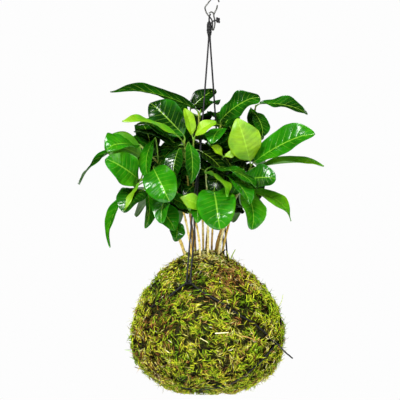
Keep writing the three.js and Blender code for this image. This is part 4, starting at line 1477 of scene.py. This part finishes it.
@dataclass(frozen=True)
class Stem:
    """One coffee stem.

    Attributes:
        radius: Its radius at the foot.
        course: The four points of its cubic, from the foot in the soil.
        gold: How golden its bark is, from dark brown at 0 to pale tan at 1.
        green: How green its upper end is.
    """

    radius: float
    course: tuple[Point, ...]
    gold: float
    green: float = 0.7

    def cubic(self, t: float) -> Array:
        """Gives a place on the cubic.

        Args:
            t: Share of the cubic.

        Returns:
            The place.
        """
        a, b, c, d = (np.array(p, float) for p in self.course)
        s = 1 - t
        return s * s * s * a + 3 * s * s * t * b + 3 * s * t * t * c + t * t * t * d

    def place(self, u: float) -> Array:
        """Gives a place on the stem: a straight foot up to the crown of the moss, and the cubic after it.

        Args:
            u: Share of the way from the foot to the upper end.

        Returns:
            The place.
        """
        collar = 0.0
        while self.cubic(collar)[2] < CROWN:
            collar += 0.01
        foot = 1 / STEM_STEPS
        if u < foot:
            return np.array(self.course[0], float) + (self.cubic(collar) - self.course[0]) * u / foot
        return self.cubic(collar + (1 - collar) * (u - foot) / (1 - foot))

    def tube_place(self, u: float) -> Array:
        """Gives a place on the straight lengths that the frame's stem is made of.

        Args:
            u: Share of the way from the foot to the upper end.

        Returns:
            The place.
        """
        whole = min(int(u * STEM_STEPS), STEM_STEPS - 1)
        start = self.place(whole / STEM_STEPS)
        return start + (self.place((whole + 1) / STEM_STEPS) - start) * (u * STEM_STEPS - whole)


STEMS = [
    Stem(1.9, ((-20, -4, -348), (-31, -7, -290), (-66, -22, -262), (-82, -30, -212)), 0.85, 0.35),
    Stem(1.3, ((-17, -8, -350), (-26, -18, -262), (-38, -30, -222), (-84, -24, -186)), 0.75),
    Stem(1.3, ((-16, 5, -350), (-22, 2, -280), (-24, -22, -230), (-30, -30, -178)), 0.3),
    Stem(1.2, ((-14, 12, -350), (-17, 9, -280), (-20, -20, -240), (-18, -32, -176)), 0.15),
    Stem(1.3, ((-8, -12, -350), (-9, -13, -310), (-12, -22, -280), (-24, -27, -256)), 0.8),
    Stem(1.3, ((-4, 15, -350), (-2, 18, -270), (10, 16, -220), (16, 8, -156)), 0.2),
    Stem(1.4, ((-1, -10, -350), (1, -14, -290), (0, -22, -250), (-3, -28, -216)), 0.95),
    Stem(1.2, ((4, -1, -350), (4, -2, -290), (8, -12, -240), (18, -24, -200)), 0.4),
    Stem(1.4, ((4, 13, -350), (8, 18, -290), (34, 8, -250), (54, -6, -210)), 0.25),
    Stem(1.5, ((9, -5, -350), (14, -10, -300), (24, -18, -262), (45, -18, -234)), 0.9),
    Stem(1.4, ((11, 6, -350), (22, 14, -290), (46, 20, -210), (60, 14, -134)), 0.6),
    Stem(1.3, ((-11, 19, -348), (-18, 32, -290), (-32, 46, -230), (-34, 48, -168)), 0.45),
    Stem(1.3, ((4, 22, -348), (16, 26, -290), (36, 34, -240), (36, 58, -172)), 0.55),
    Stem(1.3, ((-6, 3, -350), (-5, 5, -290), (-9, 9, -210), (-12, 6, -142)), 0.7),
]


class Age(Enum):
    """How far a leaf has grown, as the place of its green between old and young; the darkest places also
    paint shade on leaves deep in the bush.
    """

    # The darkest green: an old leaf's, made darker still as painted shade for leaves in the heart and at the
    # back of the bush.
    OLD = 0.05
    DEEP = 0.25
    GROWN = 0.5
    FRESH = 0.8
    YOUNG = 1.0


@dataclass(frozen=True)
class Leaf:
    """One coffee leaf, as the frame has it.

    Attributes:
        stem: Number of its stem, from 1.
        at: Share of the stem's length where its stalk starts.
        base: Where the blade starts.
        tip: Where it ends.
        width: Its greatest width.
        face: The way that its upper face looks.
        arch: How far its middle stands out of the straight.
        point: How far its tip is drawn out, 0 to 1.
        age: How far it has grown.
        twist: Radians that it turns from base to tip.
        fold: Rise of the edges over the midrib, as a share of the half width.
        wave: Height of the edge's waves.
        waves: How many there are.
        phase: Where they start.
    """

    stem: int
    at: float
    base: tuple[float, ...]
    tip: tuple[float, ...]
    width: float
    face: tuple[float, ...]
    arch: float
    point: float = 0.3
    age: Age = Age.GROWN
    twist: float = 0.0
    fold: float = 0.0
    wave: float = 0.0
    waves: float = 0.0
    phase: float = 0.0

    def frame(self) -> tuple[Array, Array, Array, float]:
        """Gives the leaf's own directions.

        Returns:
            The ways along it, out of its upper face and across it, and its length.
        """
        span = np.array(self.tip, float) - self.base
        reach = float(np.linalg.norm(span))
        along = span / reach
        out = unit(np.array(self.face, float) - along * np.dot(self.face, along))
        return along, out, np.cross(along, out), reach

    def surface(
        self, t: Array, s: Array, least: float = 0.9, fuller: float = 0.0
    ) -> tuple[Array, Array, Array]:
        """Gives places on the blade's middle surface.

        Args:
            t: Shares of the length.
            s: Places from edge to edge, -1 to 1.
            least: The least half width.
            fuller: How much rounder the tip is than in the frame's few stations.

        Returns:
            The places, the way that the upper face looks at each, and the half width there.
        """
        along, out0, across, reach = self.frame()
        tip = smooth((t - 0.6) / 0.4)
        outline = np.maximum(np.sin(math.pi * t**1.14), 0) ** (0.66 - fuller) * (1 - 0.6 * self.point * tip)
        half = np.maximum(0.5 * self.width * outline, least)
        bend = 4 * self.arch * (1 - 2 * t) / reach
        out = unit(out0 - along * bend[..., None])
        twist = (self.twist * t)[..., None]
        side = across * np.cos(twist) + out * np.sin(twist)
        face = out * np.cos(twist) - across * np.sin(twist)
        edge = np.sin(math.pi * (self.waves * t + self.phase + np.where(s < 0, 0.5, 0.0)))
        lift = half * self.fold * np.abs(s) + self.wave * s * s * edge
        arched = out0 * (4 * self.arch * t * (1 - t))[..., None]
        middle = np.array(self.base) + along * (reach * t)[..., None] + arched
        return middle + side * (half * s)[..., None] + face * lift[..., None], face, half

    def turned(self, size: float, pitch: float, yaw: float) -> "Leaf":
        """Turns the leaf about its base and makes it smaller.

        Args:
            size: What its sizes are multiplied by.
            pitch: Degrees that it turns up or down.
            yaw: Degrees that it turns to the side.

        Returns:
            The turned leaf.
        """
        _, out, across, _ = self.frame()
        span = np.array(self.tip, float) - self.base
        swung = turned(turned(span, across, pitch), out, yaw)
        tip = tuple(np.array(self.base) + swung * size)
        face = tuple(turned(np.array(self.face, float), across, pitch))
        return replace(self, tip=tip, width=self.width * size, arch=self.arch * size, face=face)


OLD, DEEP, GROWN, FRESH, YOUNG = Age
# The large leaves, placed one by one. Seven are faced or arched otherwise than in the frame, to show more.
LEAVES = [
    Leaf(14, 0.99, (-15, 3, -139), (-122, -12, -114), 39, (0, -0.5, 1), 8, 1, DEEP),
    Leaf(3, 0.97, (-30, -32, -172), (-72, -26, -130), 41, (-0.5, -0.6, 0.6), 4, 0.3, DEEP),
    Leaf(4, 0.99, (-20, -33, -172), (-31, -36, -138), 15, (0.4, -0.9, 0.2), 3, 0.3, YOUNG),
    Leaf(4, 0.99, (-16, -34, -173), (8, -38, -152), 19, (-0.3, -0.7, 0.7), 3, 0.3, YOUNG),
    Leaf(3, 0.94, (-40, -46, -172), (-112, -70, -156), 32, (0, -0.45, 1), 6, 0.8, FRESH),
    Leaf(3, 0.9, (-24, -38, -181), (-21, -60, -233), 21, (0.5, -1, 0.3), 7, 0.7, DEEP),
    Leaf(3, 0.8, (-44, -18, -180), (-92, 4, -156), 36, (0.2, -0.3, 1), 7, 0.3, DEEP),
    Leaf(2, 0.99, (-90, -26, -186), (-126, -64, -188), 41, (-0.2, -0.7, 0.7), 5, 0.3, GROWN),
    Leaf(2, 0.95, (-92, -16, -182), (-163, -20, -232), 34, (-0.3, -0.25, 1), 10, 1, DEEP),
    Leaf(1, 0.97, (-86, -38, -228), (-130, -74, -202), 41, (-0.1, -1, 0.4), 5, 0.3, GROWN),
    Leaf(2, 0.62, (-68, -50, -213), (-48, -80, -254), 42, (-0.1, -1, 0.35), 6, 0, GROWN),
    Leaf(2, 0.8, (-66, -38, -176), (-79, -62, -226), 27, (-1, -0.7, 0.3), 9, 0.8, GROWN),
    Leaf(3, 0.86, (-36, -38, -189), (-38, -58, -229), 26, (-0.5, -1, 0.2), 5, 0.2, DEEP),
    Leaf(3, 0.75, (-44, -8, -196), (-82, 24, -216), 41, (0.1, -0.8, 0.6), 6, 0.3, OLD),
    Leaf(1, 0.82, (-80, -34, -240), (-106, -68, -266), 39, (-0.4, -0.9, 0.4), 6, 0.3, DEEP),
    Leaf(1, 0.86, (-90, -24, -238), (-124, -28, -312), 32, (-0.9, -0.3, 0.5), 12, 1, GROWN),
    Leaf(1, 0.7, (-76, -30, -240), (-77, -42, -288), 24, (1, -0.5, 0.2), 4, 0.6, GROWN),
    Leaf(1, 0.58, (-66, -26, -256), (-46, -46, -292), 30, (0.3, -1, 0.3), 4, 0.3, GROWN),
    Leaf(5, 0.84, (-24, -24, -262), (-58, -34, -250), 24, (0.3, -0.7, 0.6), 3, 0.3, DEEP),
    Leaf(1, 0.42, (-38, -18, -280), (-40, -34, -304), 20, (0.2, -1, 0.3), 3, 0.3, GROWN),
    Leaf(5, 0.6, (-6, -28, -272), (-32, -44, -246), 28, (0.2, -1, 0.2), 2, 0.3, FRESH),
    Leaf(7, 0.78, (7, -26, -240), (14, -74, -288), 50, (0, -0.9, 0.5), 9, 0, GROWN),
    Leaf(10, 0.97, (44, -22, -238), (56, -54, -289), 37, (0.6, -0.8, 0.3), 8, 0, GROWN),
    Leaf(10, 0.93, (52, -14, -242), (106, -24, -278), 32, (0, -0.5, 1), 12, 1, FRESH),
    Leaf(10, 0.99, (47, -22, -228), (84, -46, -225), 33, (0.1, -1, 0.35), 5, 0, DEEP),
    Leaf(9, 0.96, (60, -5, -212), (145, -14, -208), 36, (0, -0.2, 1), 5, 1, FRESH),
    Leaf(9, 0.99, (58, -12, -205), (132, -42, -168), 46, (-0.2, -0.75, 0.65), 6, 0, GROWN),
    Leaf(9, 0.99, (52, -16, -204), (36, -40, -151), 42, (0.1, -0.95, 0.1), 6, 0.6, YOUNG),
    Leaf(6, 0.99, (16, 4, -153), (64, -14, -122), 40, (0.1, -0.7, 0.7), 6, 0.1, DEEP),
    Leaf(11, 0.9, (55, 4, -142), (66, -16, -176), 26, (0.7, -0.8, 0.2), 5, 0.2, DEEP),
    Leaf(11, 0.99, (65, 12, -132), (125, -4, -144), 32, (0, -0.5, 1), 5, 1, DEEP),
    Leaf(14, 0.95, (-9, 12, -140), (12, 40, -114), 30, (-0.4, -0.6, 0.7), 4, 0.6, OLD),
    Leaf(6, 0.95, (18, -6, -164), (-3, -46, -184), 32, (-0.3, -0.5, 0.9), 5, 0.3, GROWN),
    Leaf(8, 0.99, (18, -27, -197), (3, -34, -184), 12, (0.2, -0.8, 0.6), 2, 0.3, YOUNG),
    Leaf(8, 0.99, (21, -26, -198), (38, -34, -194), 13, (-0.2, -0.8, 0.6), 2, 0.3, YOUNG),
    Leaf(7, 0.99, (2, -32, -212), (62, -50, -242), 30, (0.3, -0.3, 1), 7, 0.3, DEEP),
    Leaf(7, 0.97, (-4, -35, -218), (26, -66, -247), 26, (0.7, -0.1, 1), 6, 0.7, FRESH),
    Leaf(8, 0.8, (22, -8, -214), (50, 14, -230), 34, (0, -0.8, 0.6), 5, 0.3, OLD),
]
# Small leaves that stand between the large ones and that the frame leaves out.
SMALL_LEAVES = [
    Leaf(2, 0.97, (-84, -22, -197), (-129, -30, -178), 38, (0.05, -1, 0.2), 4, 0.2, FRESH),
    Leaf(5, 0.97, (-6, -40, -262), (-35, -54, -249), 20, (0.1, -1, 0.4), 3, 0.8, FRESH),
    Leaf(7, 0.7, (-15, -38, -256), (-13, -52, -281), 18, (0.3, -1, 0.3), 3, 0.5, GROWN),
    Leaf(1, 0.9, (-86, -46, -232), (-103, -74, -266), 8, (-0.6, -1, 0.1), 2, 0.8, FRESH),
    Leaf(14, 0.97, (-22, 16, -139), (10, 26, -113), 28, (-0.4, -0.8, 0.5), 3, 0.4, OLD),
    Leaf(11, 0.85, (54, 8, -138), (60, -2, -178), 25, (0.5, -0.9, 0.2), 4, 0.3, DEEP),
    Leaf(6, 0.9, (22, -4, -170), (2, -38, -184), 27, (-0.2, -0.8, 0.6), 4, 0.3, DEEP),
    Leaf(8, 0.8, (18, -20, -214), (6, -34, -246), 24, (-0.3, -1, 0.4), 4, 0.3, OLD),
    Leaf(9, 0.8, (44, -10, -214), (30, -30, -246), 24, (0.2, -1, 0.3), 4, 0.3, DEEP),
]


@dataclass(frozen=True)
class Filling:
    """Leaves that fill the sides and back of one stem: how many, and degrees round to their fan's middle."""

    stem: int
    count: int
    toward: float


FILLINGS = [
    Filling(1, 4, 200), Filling(2, 4, 220), Filling(3, 5, 230), Filling(4, 6, 170), Filling(6, 7, 120),
    Filling(8, 5, 100), Filling(9, 6, 120), Filling(10, 4, 130), Filling(11, 6, 160), Filling(12, 8, 205),
    Filling(13, 9, 160), Filling(14, 7, 200),
]


@dataclass
class Draw:
    """The frame's own row of numbers, each from 0 to 1.

    Attributes:
        state: Where the row stands; at first, the seed.
        factor: What the state is multiplied by for the next number.
        offset: What is added to it.
        size: How many states there are.
    """

    state: int
    factor: int = 1664525
    offset: int = 1013904223
    size: int = 2**32

    def __call__(self) -> float:
        """Returns the next number."""
        self.state = (self.state * self.factor + self.offset) % self.size
        return self.state / self.size


GOLDEN = 0.618034  # a leaf's turn round its stem after the one before, as a share of the fan


@dataclass
class CoffeePlant:
    """The clump of young coffee: every stem and leaf, each leaf where the frame has bent it clear.

    Attributes:
        nodes: The frame's nodes, by name.
        rows: Stations along a blade.
        columns: Places from edge to edge of a blade.
        thickness: The blade's thickness at the midrib.
        quilt: How far the blade swells up between its veins.
        stalk_radius: A leaf stalk's radius at the stem and at the blade.
        ring_spacing: Distance between the rings on a stem.
        ring_rise: How far a ring stands out.
        inner_leaves: How many small leaves close the heart of the bush on each stem.
        heart: The room that their tips stay in, from low to high each way.
        seed: Chooses the inner leaves and how old each leaf looks.
        filling_seed: The frame's seed for the leaves at the sides and back.
        shape_seed: Its seed for how each leaf curls.
        sizes: How small the frame may have made a leaf to fit it in.
        pitches: Degrees that it may have turned it up or down by.
        yaws: Degrees that it may have turned it to the side by.
        close: How far a corner may lie from the frame's for its leaf to be the one.
    """

    nodes: dict[str, bpy.types.Object]
    rows: int = 46
    columns: int = 15
    thickness: float = 0.7
    quilt: float = 1.15
    stalk_radius: tuple[float, float] = (1.05, 0.62)
    ring_spacing: float = 17.0
    ring_rise: float = 0.28
    inner_leaves: int = 6
    heart: tuple[tuple[float, float], ...] = ((-80, 68), (-30, 46), (-262, -146))
    seed: int = 88
    filling_seed: int = 20261123
    shape_seed: int = 4711
    sizes: tuple[float, ...] = (1, 0.86, 0.74)
    pitches: tuple[float, ...] = (0, 7, -7, 14, -14, 21, -21, 28, -28, 36, -36)
    yaws: tuple[float, ...] = (0, 8, -8, 16, -16, 24, -24)
    close: float = 0.05

    def filling(self) -> list[Leaf]:
        """Places the leaves at the sides and back as the frame does, before they are bent clear.

        Returns:
            The leaves.
        """
        draw = Draw(self.filling_seed)
        leaves = []
        for fill in FILLINGS:
            for i in range(fill.count):
                at = 0.98 - 0.5 * i / max(fill.count, 4)
                share = (i * GOLDEN + fill.stem * 0.37) % 1
                turn = math.radians(fill.toward + 150 * (share - 0.5))
                climb = math.radians(34 - 62 * (i / max(fill.count - 1, 1)) + 16 * (draw() - 0.5))
                reach = 66 + 26 * draw()
                flat = unit(np.array([0.7 * math.sin(turn), -math.cos(turn), 0.0]))
                way = flat * math.cos(climb) + UP * math.sin(climb)
                base = STEMS[fill.stem - 1].tube_place(at) + flat * 9 + UP * 3
                tip, face = base + way * reach, UP + flat * 0.2
                leaves.append(Leaf(
                    fill.stem, at, tuple(base), tuple(tip), reach * 0.42, tuple(face), 0.1 * reach,
                    age=(OLD, DEEP, GROWN, DEEP)[(i + fill.stem) % 4],
                ))
        return leaves

    def clouds(self) -> dict[int, Array]:
        """Reads the corners of the frame's stems.

        Returns:
            The places of each stem's corners, by its number.
        """
        found = {}
        for number in range(1, len(STEMS) + 1):
            mesh = self.nodes[f"coffee_stem_{number:02d}"].data
            cloud = np.zeros(3 * len(mesh.vertices), np.float32)
            mesh.vertices.foreach_get("co", cloud)
            found[number] = cloud.reshape(-1, 3).astype(float) / MM - [PLUMB_X, 0, 0]
        return found

    def settled(self) -> list[Leaf]:
        """Bends each leaf as the frame has bent it: of all its turns, the one whose blade lies there.

        A filling leaf that lies nowhere in the frame found no room there, and is left out. A large leaf
        that is faced or arched otherwise than in the frame takes the turn that comes nearest.

        Returns:
            The leaves.
        """
        draw = Draw(self.shape_seed)
        dressed = []
        for leaf in LEAVES + self.filling():
            shape = [draw() for _ in range(5)]
            dressed.append(replace(
                leaf, twist=0.4 * (shape[0] - 0.5), fold=0.08 + 0.2 * shape[1],
                wave=leaf.width * (0.03 + 0.04 * shape[2]), waves=3 + 1.5 * shape[3], phase=2 * shape[4],
            ))
        turns = sorted(
            ((s, p, y) for s in self.sizes for p in self.pitches for y in self.yaws),
            key=lambda turn: turn[1] ** 2 + turn[2] ** 2 + 3000 * (1 - turn[0]),
        )
        clouds = self.clouds()
        found = []
        for number, leaf in enumerate(dressed):
            stations = 5 if number < len(LEAVES) else 4
            t = 0.5 - 0.5 * np.cos(math.pi * (np.arange(1, stations + 1) + 0.35) / (stations + 0.35))
            t, s = np.repeat(t, 3), np.tile([-1.0, 0.0, 1.0], stations)
            best, least = leaf, math.inf
            for turn in turns:
                tried = leaf.turned(*turn)
                place, face, _ = tried.surface(t, s)
                corner = place + 0.4 * face
                miss = np.median(np.linalg.norm(corner[:, None] - clouds[leaf.stem][None], axis=2).min(1))
                if miss < least:
                    best, least = tried, miss
                if least < 0.4 * self.close:
                    break
            if least < self.close:
                found.append(best)
            elif number < len(LEAVES):
                LOG.warning("leaf %d is %.2f mm off its place in the frame", number, least)
                found.append(best)
        LOG.info("%d leaves stand in the frame", len(found))
        return found

    def inner(self, rng: np.random.Generator) -> list[Leaf]:
        """Adds the small leaves that the frame leaves out; most of them stand in the heart of the bush, in
        the darkest green, as painted shade.

        Args:
            rng: The random numbers.

        Returns:
            The leaves.
        """
        curl = {"twist": 0.15, "fold": 0.16, "wave": 1.2, "waves": 3.5, "phase": 0.4}
        leaves = [replace(leaf, **curl) for leaf in SMALL_LEAVES]
        for number, stem in enumerate(STEMS, 1):
            count = 0
            while count < self.inner_leaves:
                at, turn = rng.uniform(0.48, 0.95), rng.uniform(-math.pi, math.pi)
                climb = rng.uniform(-1.0, 0.3)
                flat = np.array([math.sin(turn), -math.cos(turn), 0.0])
                reach = rng.uniform(40, 60)
                base = stem.tube_place(at) + flat * 6 + UP
                tip = base + (flat * math.cos(climb) + UP * math.sin(climb)) * reach
                if not all(low < place < high for place, (low, high) in zip(tip, self.heart)):
                    continue
                face = UP * 0.7 + np.array([rng.normal(0, 0.4), -0.5, 0.0])
                # Darkest green: painted shade in the heart of the bush.
                leaves.append(Leaf(
                    number, at, tuple(base), tuple(tip), reach * 0.5, tuple(face), 0.12 * reach, age=OLD,
                    twist=rng.normal(0, 0.3), fold=0.15, wave=1.6, waves=4.0, phase=rng.uniform(0, 2),
                ))
                count += 1
        return leaves

    def blade(self, skin: Skin, leaf: Leaf, shade: float, rows: int, columns: int) -> None:
        """Adds one leaf's blade, its upper and under side joined round the edge.

        Args:
            skin: The mesh that it is added to.
            leaf: The leaf.
            shade: A small difference of its own in age.
            rows: Stations along the blade.
            columns: Places from edge to edge.
        """
        finish = Finish.BLADE.value
        even = np.linspace(0, 1, rows)
        t = 0.6 * even + 0.4 * (0.5 - 0.5 * np.cos(math.pi * even))
        s = 0.5 * np.sin(np.linspace(-1, 1, columns) * math.pi / 2) + 0.5 * np.linspace(-1, 1, columns)
        tt, ss = np.repeat(t, columns), np.tile(s, rows)
        middle, face, half = leaf.surface(tt, ss, 0.12, 0.16 * (1 - leaf.point))
        neck = tt < 0.03
        middle[neck] = leaf.surface(tt[neck], ss[neck], 0.7)[0]
        phase = finish.pairs_of_veins * tt - finish.sweep_of_veins * np.abs(ss)
        puff = np.abs(np.sin(math.pi * (phase - 0.5))) ** 0.8
        body = np.sin(math.pi * np.clip(tt, 0, 1)) ** 0.5 * np.clip(1.15 - np.abs(ss) ** 3, 0, 1)
        rib = np.exp(-((ss * half / 1.1) ** 2))
        size = min(leaf.width / 40, 1.1)
        swell = self.quilt * size * (puff - 0.5) * body * (1 - rib) - 0.45 * size * rib * body
        thick = 0.5 * self.thickness * (0.45 + 0.55 * (1 - np.abs(ss) ** 4))
        droop = smooth((tt - 0.7) / 0.3) ** 2
        ripple = np.abs(ss) ** 3 * np.sin(FULL_TURN * (4.5 * tt + leaf.phase) + ss) * body
        swell = swell + 0.028 * leaf.width * ripple - 0.08 * leaf.width * droop
        upper = middle + face * (swell + thick)[:, None]
        lower = middle + face * (swell - thick - 0.55 * rib * body)[:, None]
        chart = np.stack([tt, 0.5 + 0.5 * ss], -1)
        n = rows * columns
        quads = grid_quads(rows, columns)
        rim = np.concatenate([
            np.arange(columns), np.arange(1, rows) * columns + columns - 1,
            np.arange(columns - 2, -1, -1) + (rows - 1) * columns, np.arange(rows - 2, 0, -1) * columns,
        ])
        after = np.roll(rim, -1)
        edge = np.stack([rim, after, after + n, rim + n], -1)
        age = float(np.clip(leaf.age.value + shade, 0, 1))
        skin.add(
            np.vstack([upper, lower]), np.vstack([quads, quads[:, ::-1] + n, edge]),
            marks={"age": age, "under": np.repeat([0.0, 1.0], n)},
            maps={"blade": np.vstack([chart, chart])},
        )

    def stalk(self, skin: Skin, leaf: Leaf) -> None:
        """Adds the stalk from the stem to the blade, as a round that runs out under the midrib.

        Args:
            skin: The mesh that it is added to.
            leaf: The leaf.
        """
        along, _, _, _ = leaf.frame()
        start = STEMS[leaf.stem - 1].tube_place(leaf.at)
        base = np.array(leaf.base, float)
        control = base - along * 0.35 * np.linalg.norm(base - start)
        further = leaf.surface(np.array([0.2]), np.array([0.0]))[0][0]
        end = base + (further - base) * 0.2
        t = np.linspace(0, 1, 14)[:, None]
        line = (1 - t) ** 2 * start + 2 * t * (1 - t) * control + t**2 * end
        radius = np.linspace(*self.stalk_radius, len(line))
        sweep(skin, line, radius, 8, marks={"green": 0.95, "gold": 0.6})

    def wood(self, index: int, leaves: list[Leaf]) -> bpy.types.Object:
        """Makes one stem with its stalks.

        Args:
            index: The stem's place in the list.
            leaves: The leaves that grow on it.

        Returns:
            The piece.
        """
        stem = STEMS[index]
        skin = Skin()
        u = np.linspace(0, 1, 90)
        line = np.array([stem.place(float(x)) for x in u])
        run = np.concatenate([[0], np.cumsum(np.linalg.norm(np.diff(line, axis=0), axis=1))])
        beside = (run + 3 * index) % self.ring_spacing - self.ring_spacing / 2
        rings = np.exp(-((beside / 1.1) ** 2))
        radius = stem.radius * (1.05 - 0.3 * u) + self.ring_rise * rings + 0.06 * np.sin(run / 2.3 + index)
        green = stem.green * smooth((u - 0.35) / 0.5)
        gold = np.clip(stem.gold + 0.12 * np.sin(run / 9 + index) - 0.25 * rings, 0, 1)
        sweep(skin, line, radius, 12, marks={"green": green, "gold": gold})
        for leaf in leaves:
            self.stalk(skin, leaf)
        node = f"coffee_stem_{index + 1:02d}"
        return skin.build(f"{node}_wood", Finish.BARK, [node])

    def make(self) -> list[bpy.types.Object]:
        """Makes the plant.

        Returns:
            The pieces.
        """
        leaves = self.settled()
        rng = np.random.default_rng(self.seed)
        inner = self.inner(rng)
        made = []
        for index in range(len(STEMS)):
            large, small = ([leaf for leaf in group if leaf.stem == index + 1] for group in (leaves, inner))
            made.append(self.wood(index, large + small))
            skin = Skin()
            for leaf in large:
                self.blade(skin, leaf, float(rng.normal(0, 0.05)), self.rows, self.columns)
            for leaf in small:
                self.blade(skin, leaf, float(rng.normal(0.03, 0.05)), self.rows // 2, 9)
            node = f"coffee_stem_{index + 1:02d}"
            made.append(skin.build(f"{node}_leaves", Finish.BLADE, [node]))
        return made


# ----------------------------------------------------------------------------------------------- the studio


@dataclass(frozen=True)
class Lamp:
    """One soft light.

    Attributes:
        name: Its name.
        place: Where it is, in metres.
        power: Its power in watts.
        size: The side of its panel, in metres.
        mirrored: Whether it shows in glossy leaves.
    """

    name: str
    place: Point
    power: float
    size: float
    mirrored: bool = False


@dataclass
class Studio:
    """A pale floor, soft lights and the camera.

    Attributes:
        floor_drop: How far the floor lies under the plant, in metres.
        floor_side: Half the floor's width, in metres.
        aim: What the camera looks at, in metres.
        distance: How far away the camera is, in metres; it looks level from there.
        sensor: Width of its sensor, in millimetres.
        view: Width of what it sees at the plant, in metres.
        white: Colour of the world behind the plant.
        lamps: The lights.
    """

    floor_drop: float = 0.42
    floor_side: float = 1.5
    aim: Point = (-0.017, 0.0, -0.2525)
    distance: float = 6.0
    sensor: float = 36.0
    view: float = 0.5
    white: str = "#fdfdfd"
    lamps: tuple[Lamp, ...] = (
        Lamp("key", (-0.6, -1.8, 1.4), 128.0, 1.0, True), Lamp("fill", (1.7, -1.5, 0.2), 22.0, 0.8),
        Lamp("low", (-0.3, -1.7, -0.8), 28.0, 1.0), Lamp("top", (0.1, 0.1, 1.6), 30.0, 1.2),
        Lamp("back_left", (-1.3, 1.6, 0.4), 30.0, 1.2), Lamp("back_right", (1.2, 1.7, 0.5), 30.0, 1.2),
    )

    def stand(self, name: str, data: bpy.types.ID, place: Vector) -> bpy.types.Object:
        """Stands a camera or a light up so that it looks at the plant.

        Args:
            name: Its name.
            data: What it is.
            place: Where it stands, in metres.

        Returns:
            The object.
        """
        made = bpy.data.objects.new(name, data)
        bpy.context.scene.collection.objects.link(made)
        made.location = place
        made.rotation_euler = (Vector(self.aim) - made.location).to_track_quat("-Z", "Y").to_euler()
        return made

    def camera(self) -> None:
        """Makes the camera."""
        data = bpy.data.cameras.new("camera")
        data.sensor_width = self.sensor
        data.lens = self.sensor * self.distance / self.view
        data.clip_end = 5 * self.distance
        place = Vector(self.aim) + Vector((0, -1, 0)) * self.distance
        bpy.context.scene.camera = self.stand("camera", data, place)

    def floor(self) -> None:
        """Makes the floor."""
        z = BALL.foot * MM - self.floor_drop
        mesh = bpy.data.meshes.new("floor")
        side = self.floor_side
        corners = [(x * side, y * side, z) for x, y in ((-1, -1), (1, -1), (1, 1), (-1, 1))]
        mesh.from_pydata(corners, [], [(0, 1, 2, 3)])
        mesh.materials.append(Finish.BACKDROP.material())
        floor = bpy.data.objects.new("floor", mesh)
        bpy.context.scene.collection.objects.link(floor)

    def light(self, lamp: Lamp) -> None:
        """Makes one light.

        Args:
            lamp: The light.
        """
        data = bpy.data.lights.new(lamp.name, "AREA")
        data.energy = lamp.power
        data.size = lamp.size
        self.stand(lamp.name, data, Vector(lamp.place)).visible_glossy = lamp.mirrored

    def make(self) -> None:
        """Makes the studio, whose world is seen behind the plant and doesn't light it."""
        self.camera()
        self.floor()
        for lamp in self.lamps:
            self.light(lamp)
        world = bpy.data.worlds.new("studio")
        bpy.context.scene.world = world
        world.use_nodes = True
        background = world.node_tree.nodes["Background"]
        background.inputs["Color"].default_value = srgb(self.white)
        background.inputs["Strength"].default_value = 1.0
        world.cycles_visibility.diffuse = False
        world.cycles_visibility.glossy = False
        bpy.context.scene.view_settings.view_transform = "Standard"


def main() -> None:
    """Builds the looks on the frame; each piece it builds logs how many vertices and faces it has."""
    logging.basicConfig(level=logging.INFO, format="%(name)s %(message)s")
    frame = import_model()
    Studio().make()
    HangingCords().make()
    binding = Binding()
    binding.make()
    TopKnot().make()
    WireHook().make()
    moss = MossBall()
    moss.mat()
    moss.grow(binding.bare())
    moss.litter()
    CoffeePlant(frame["nodes"]).make()


if __name__ == "__main__":
    main()
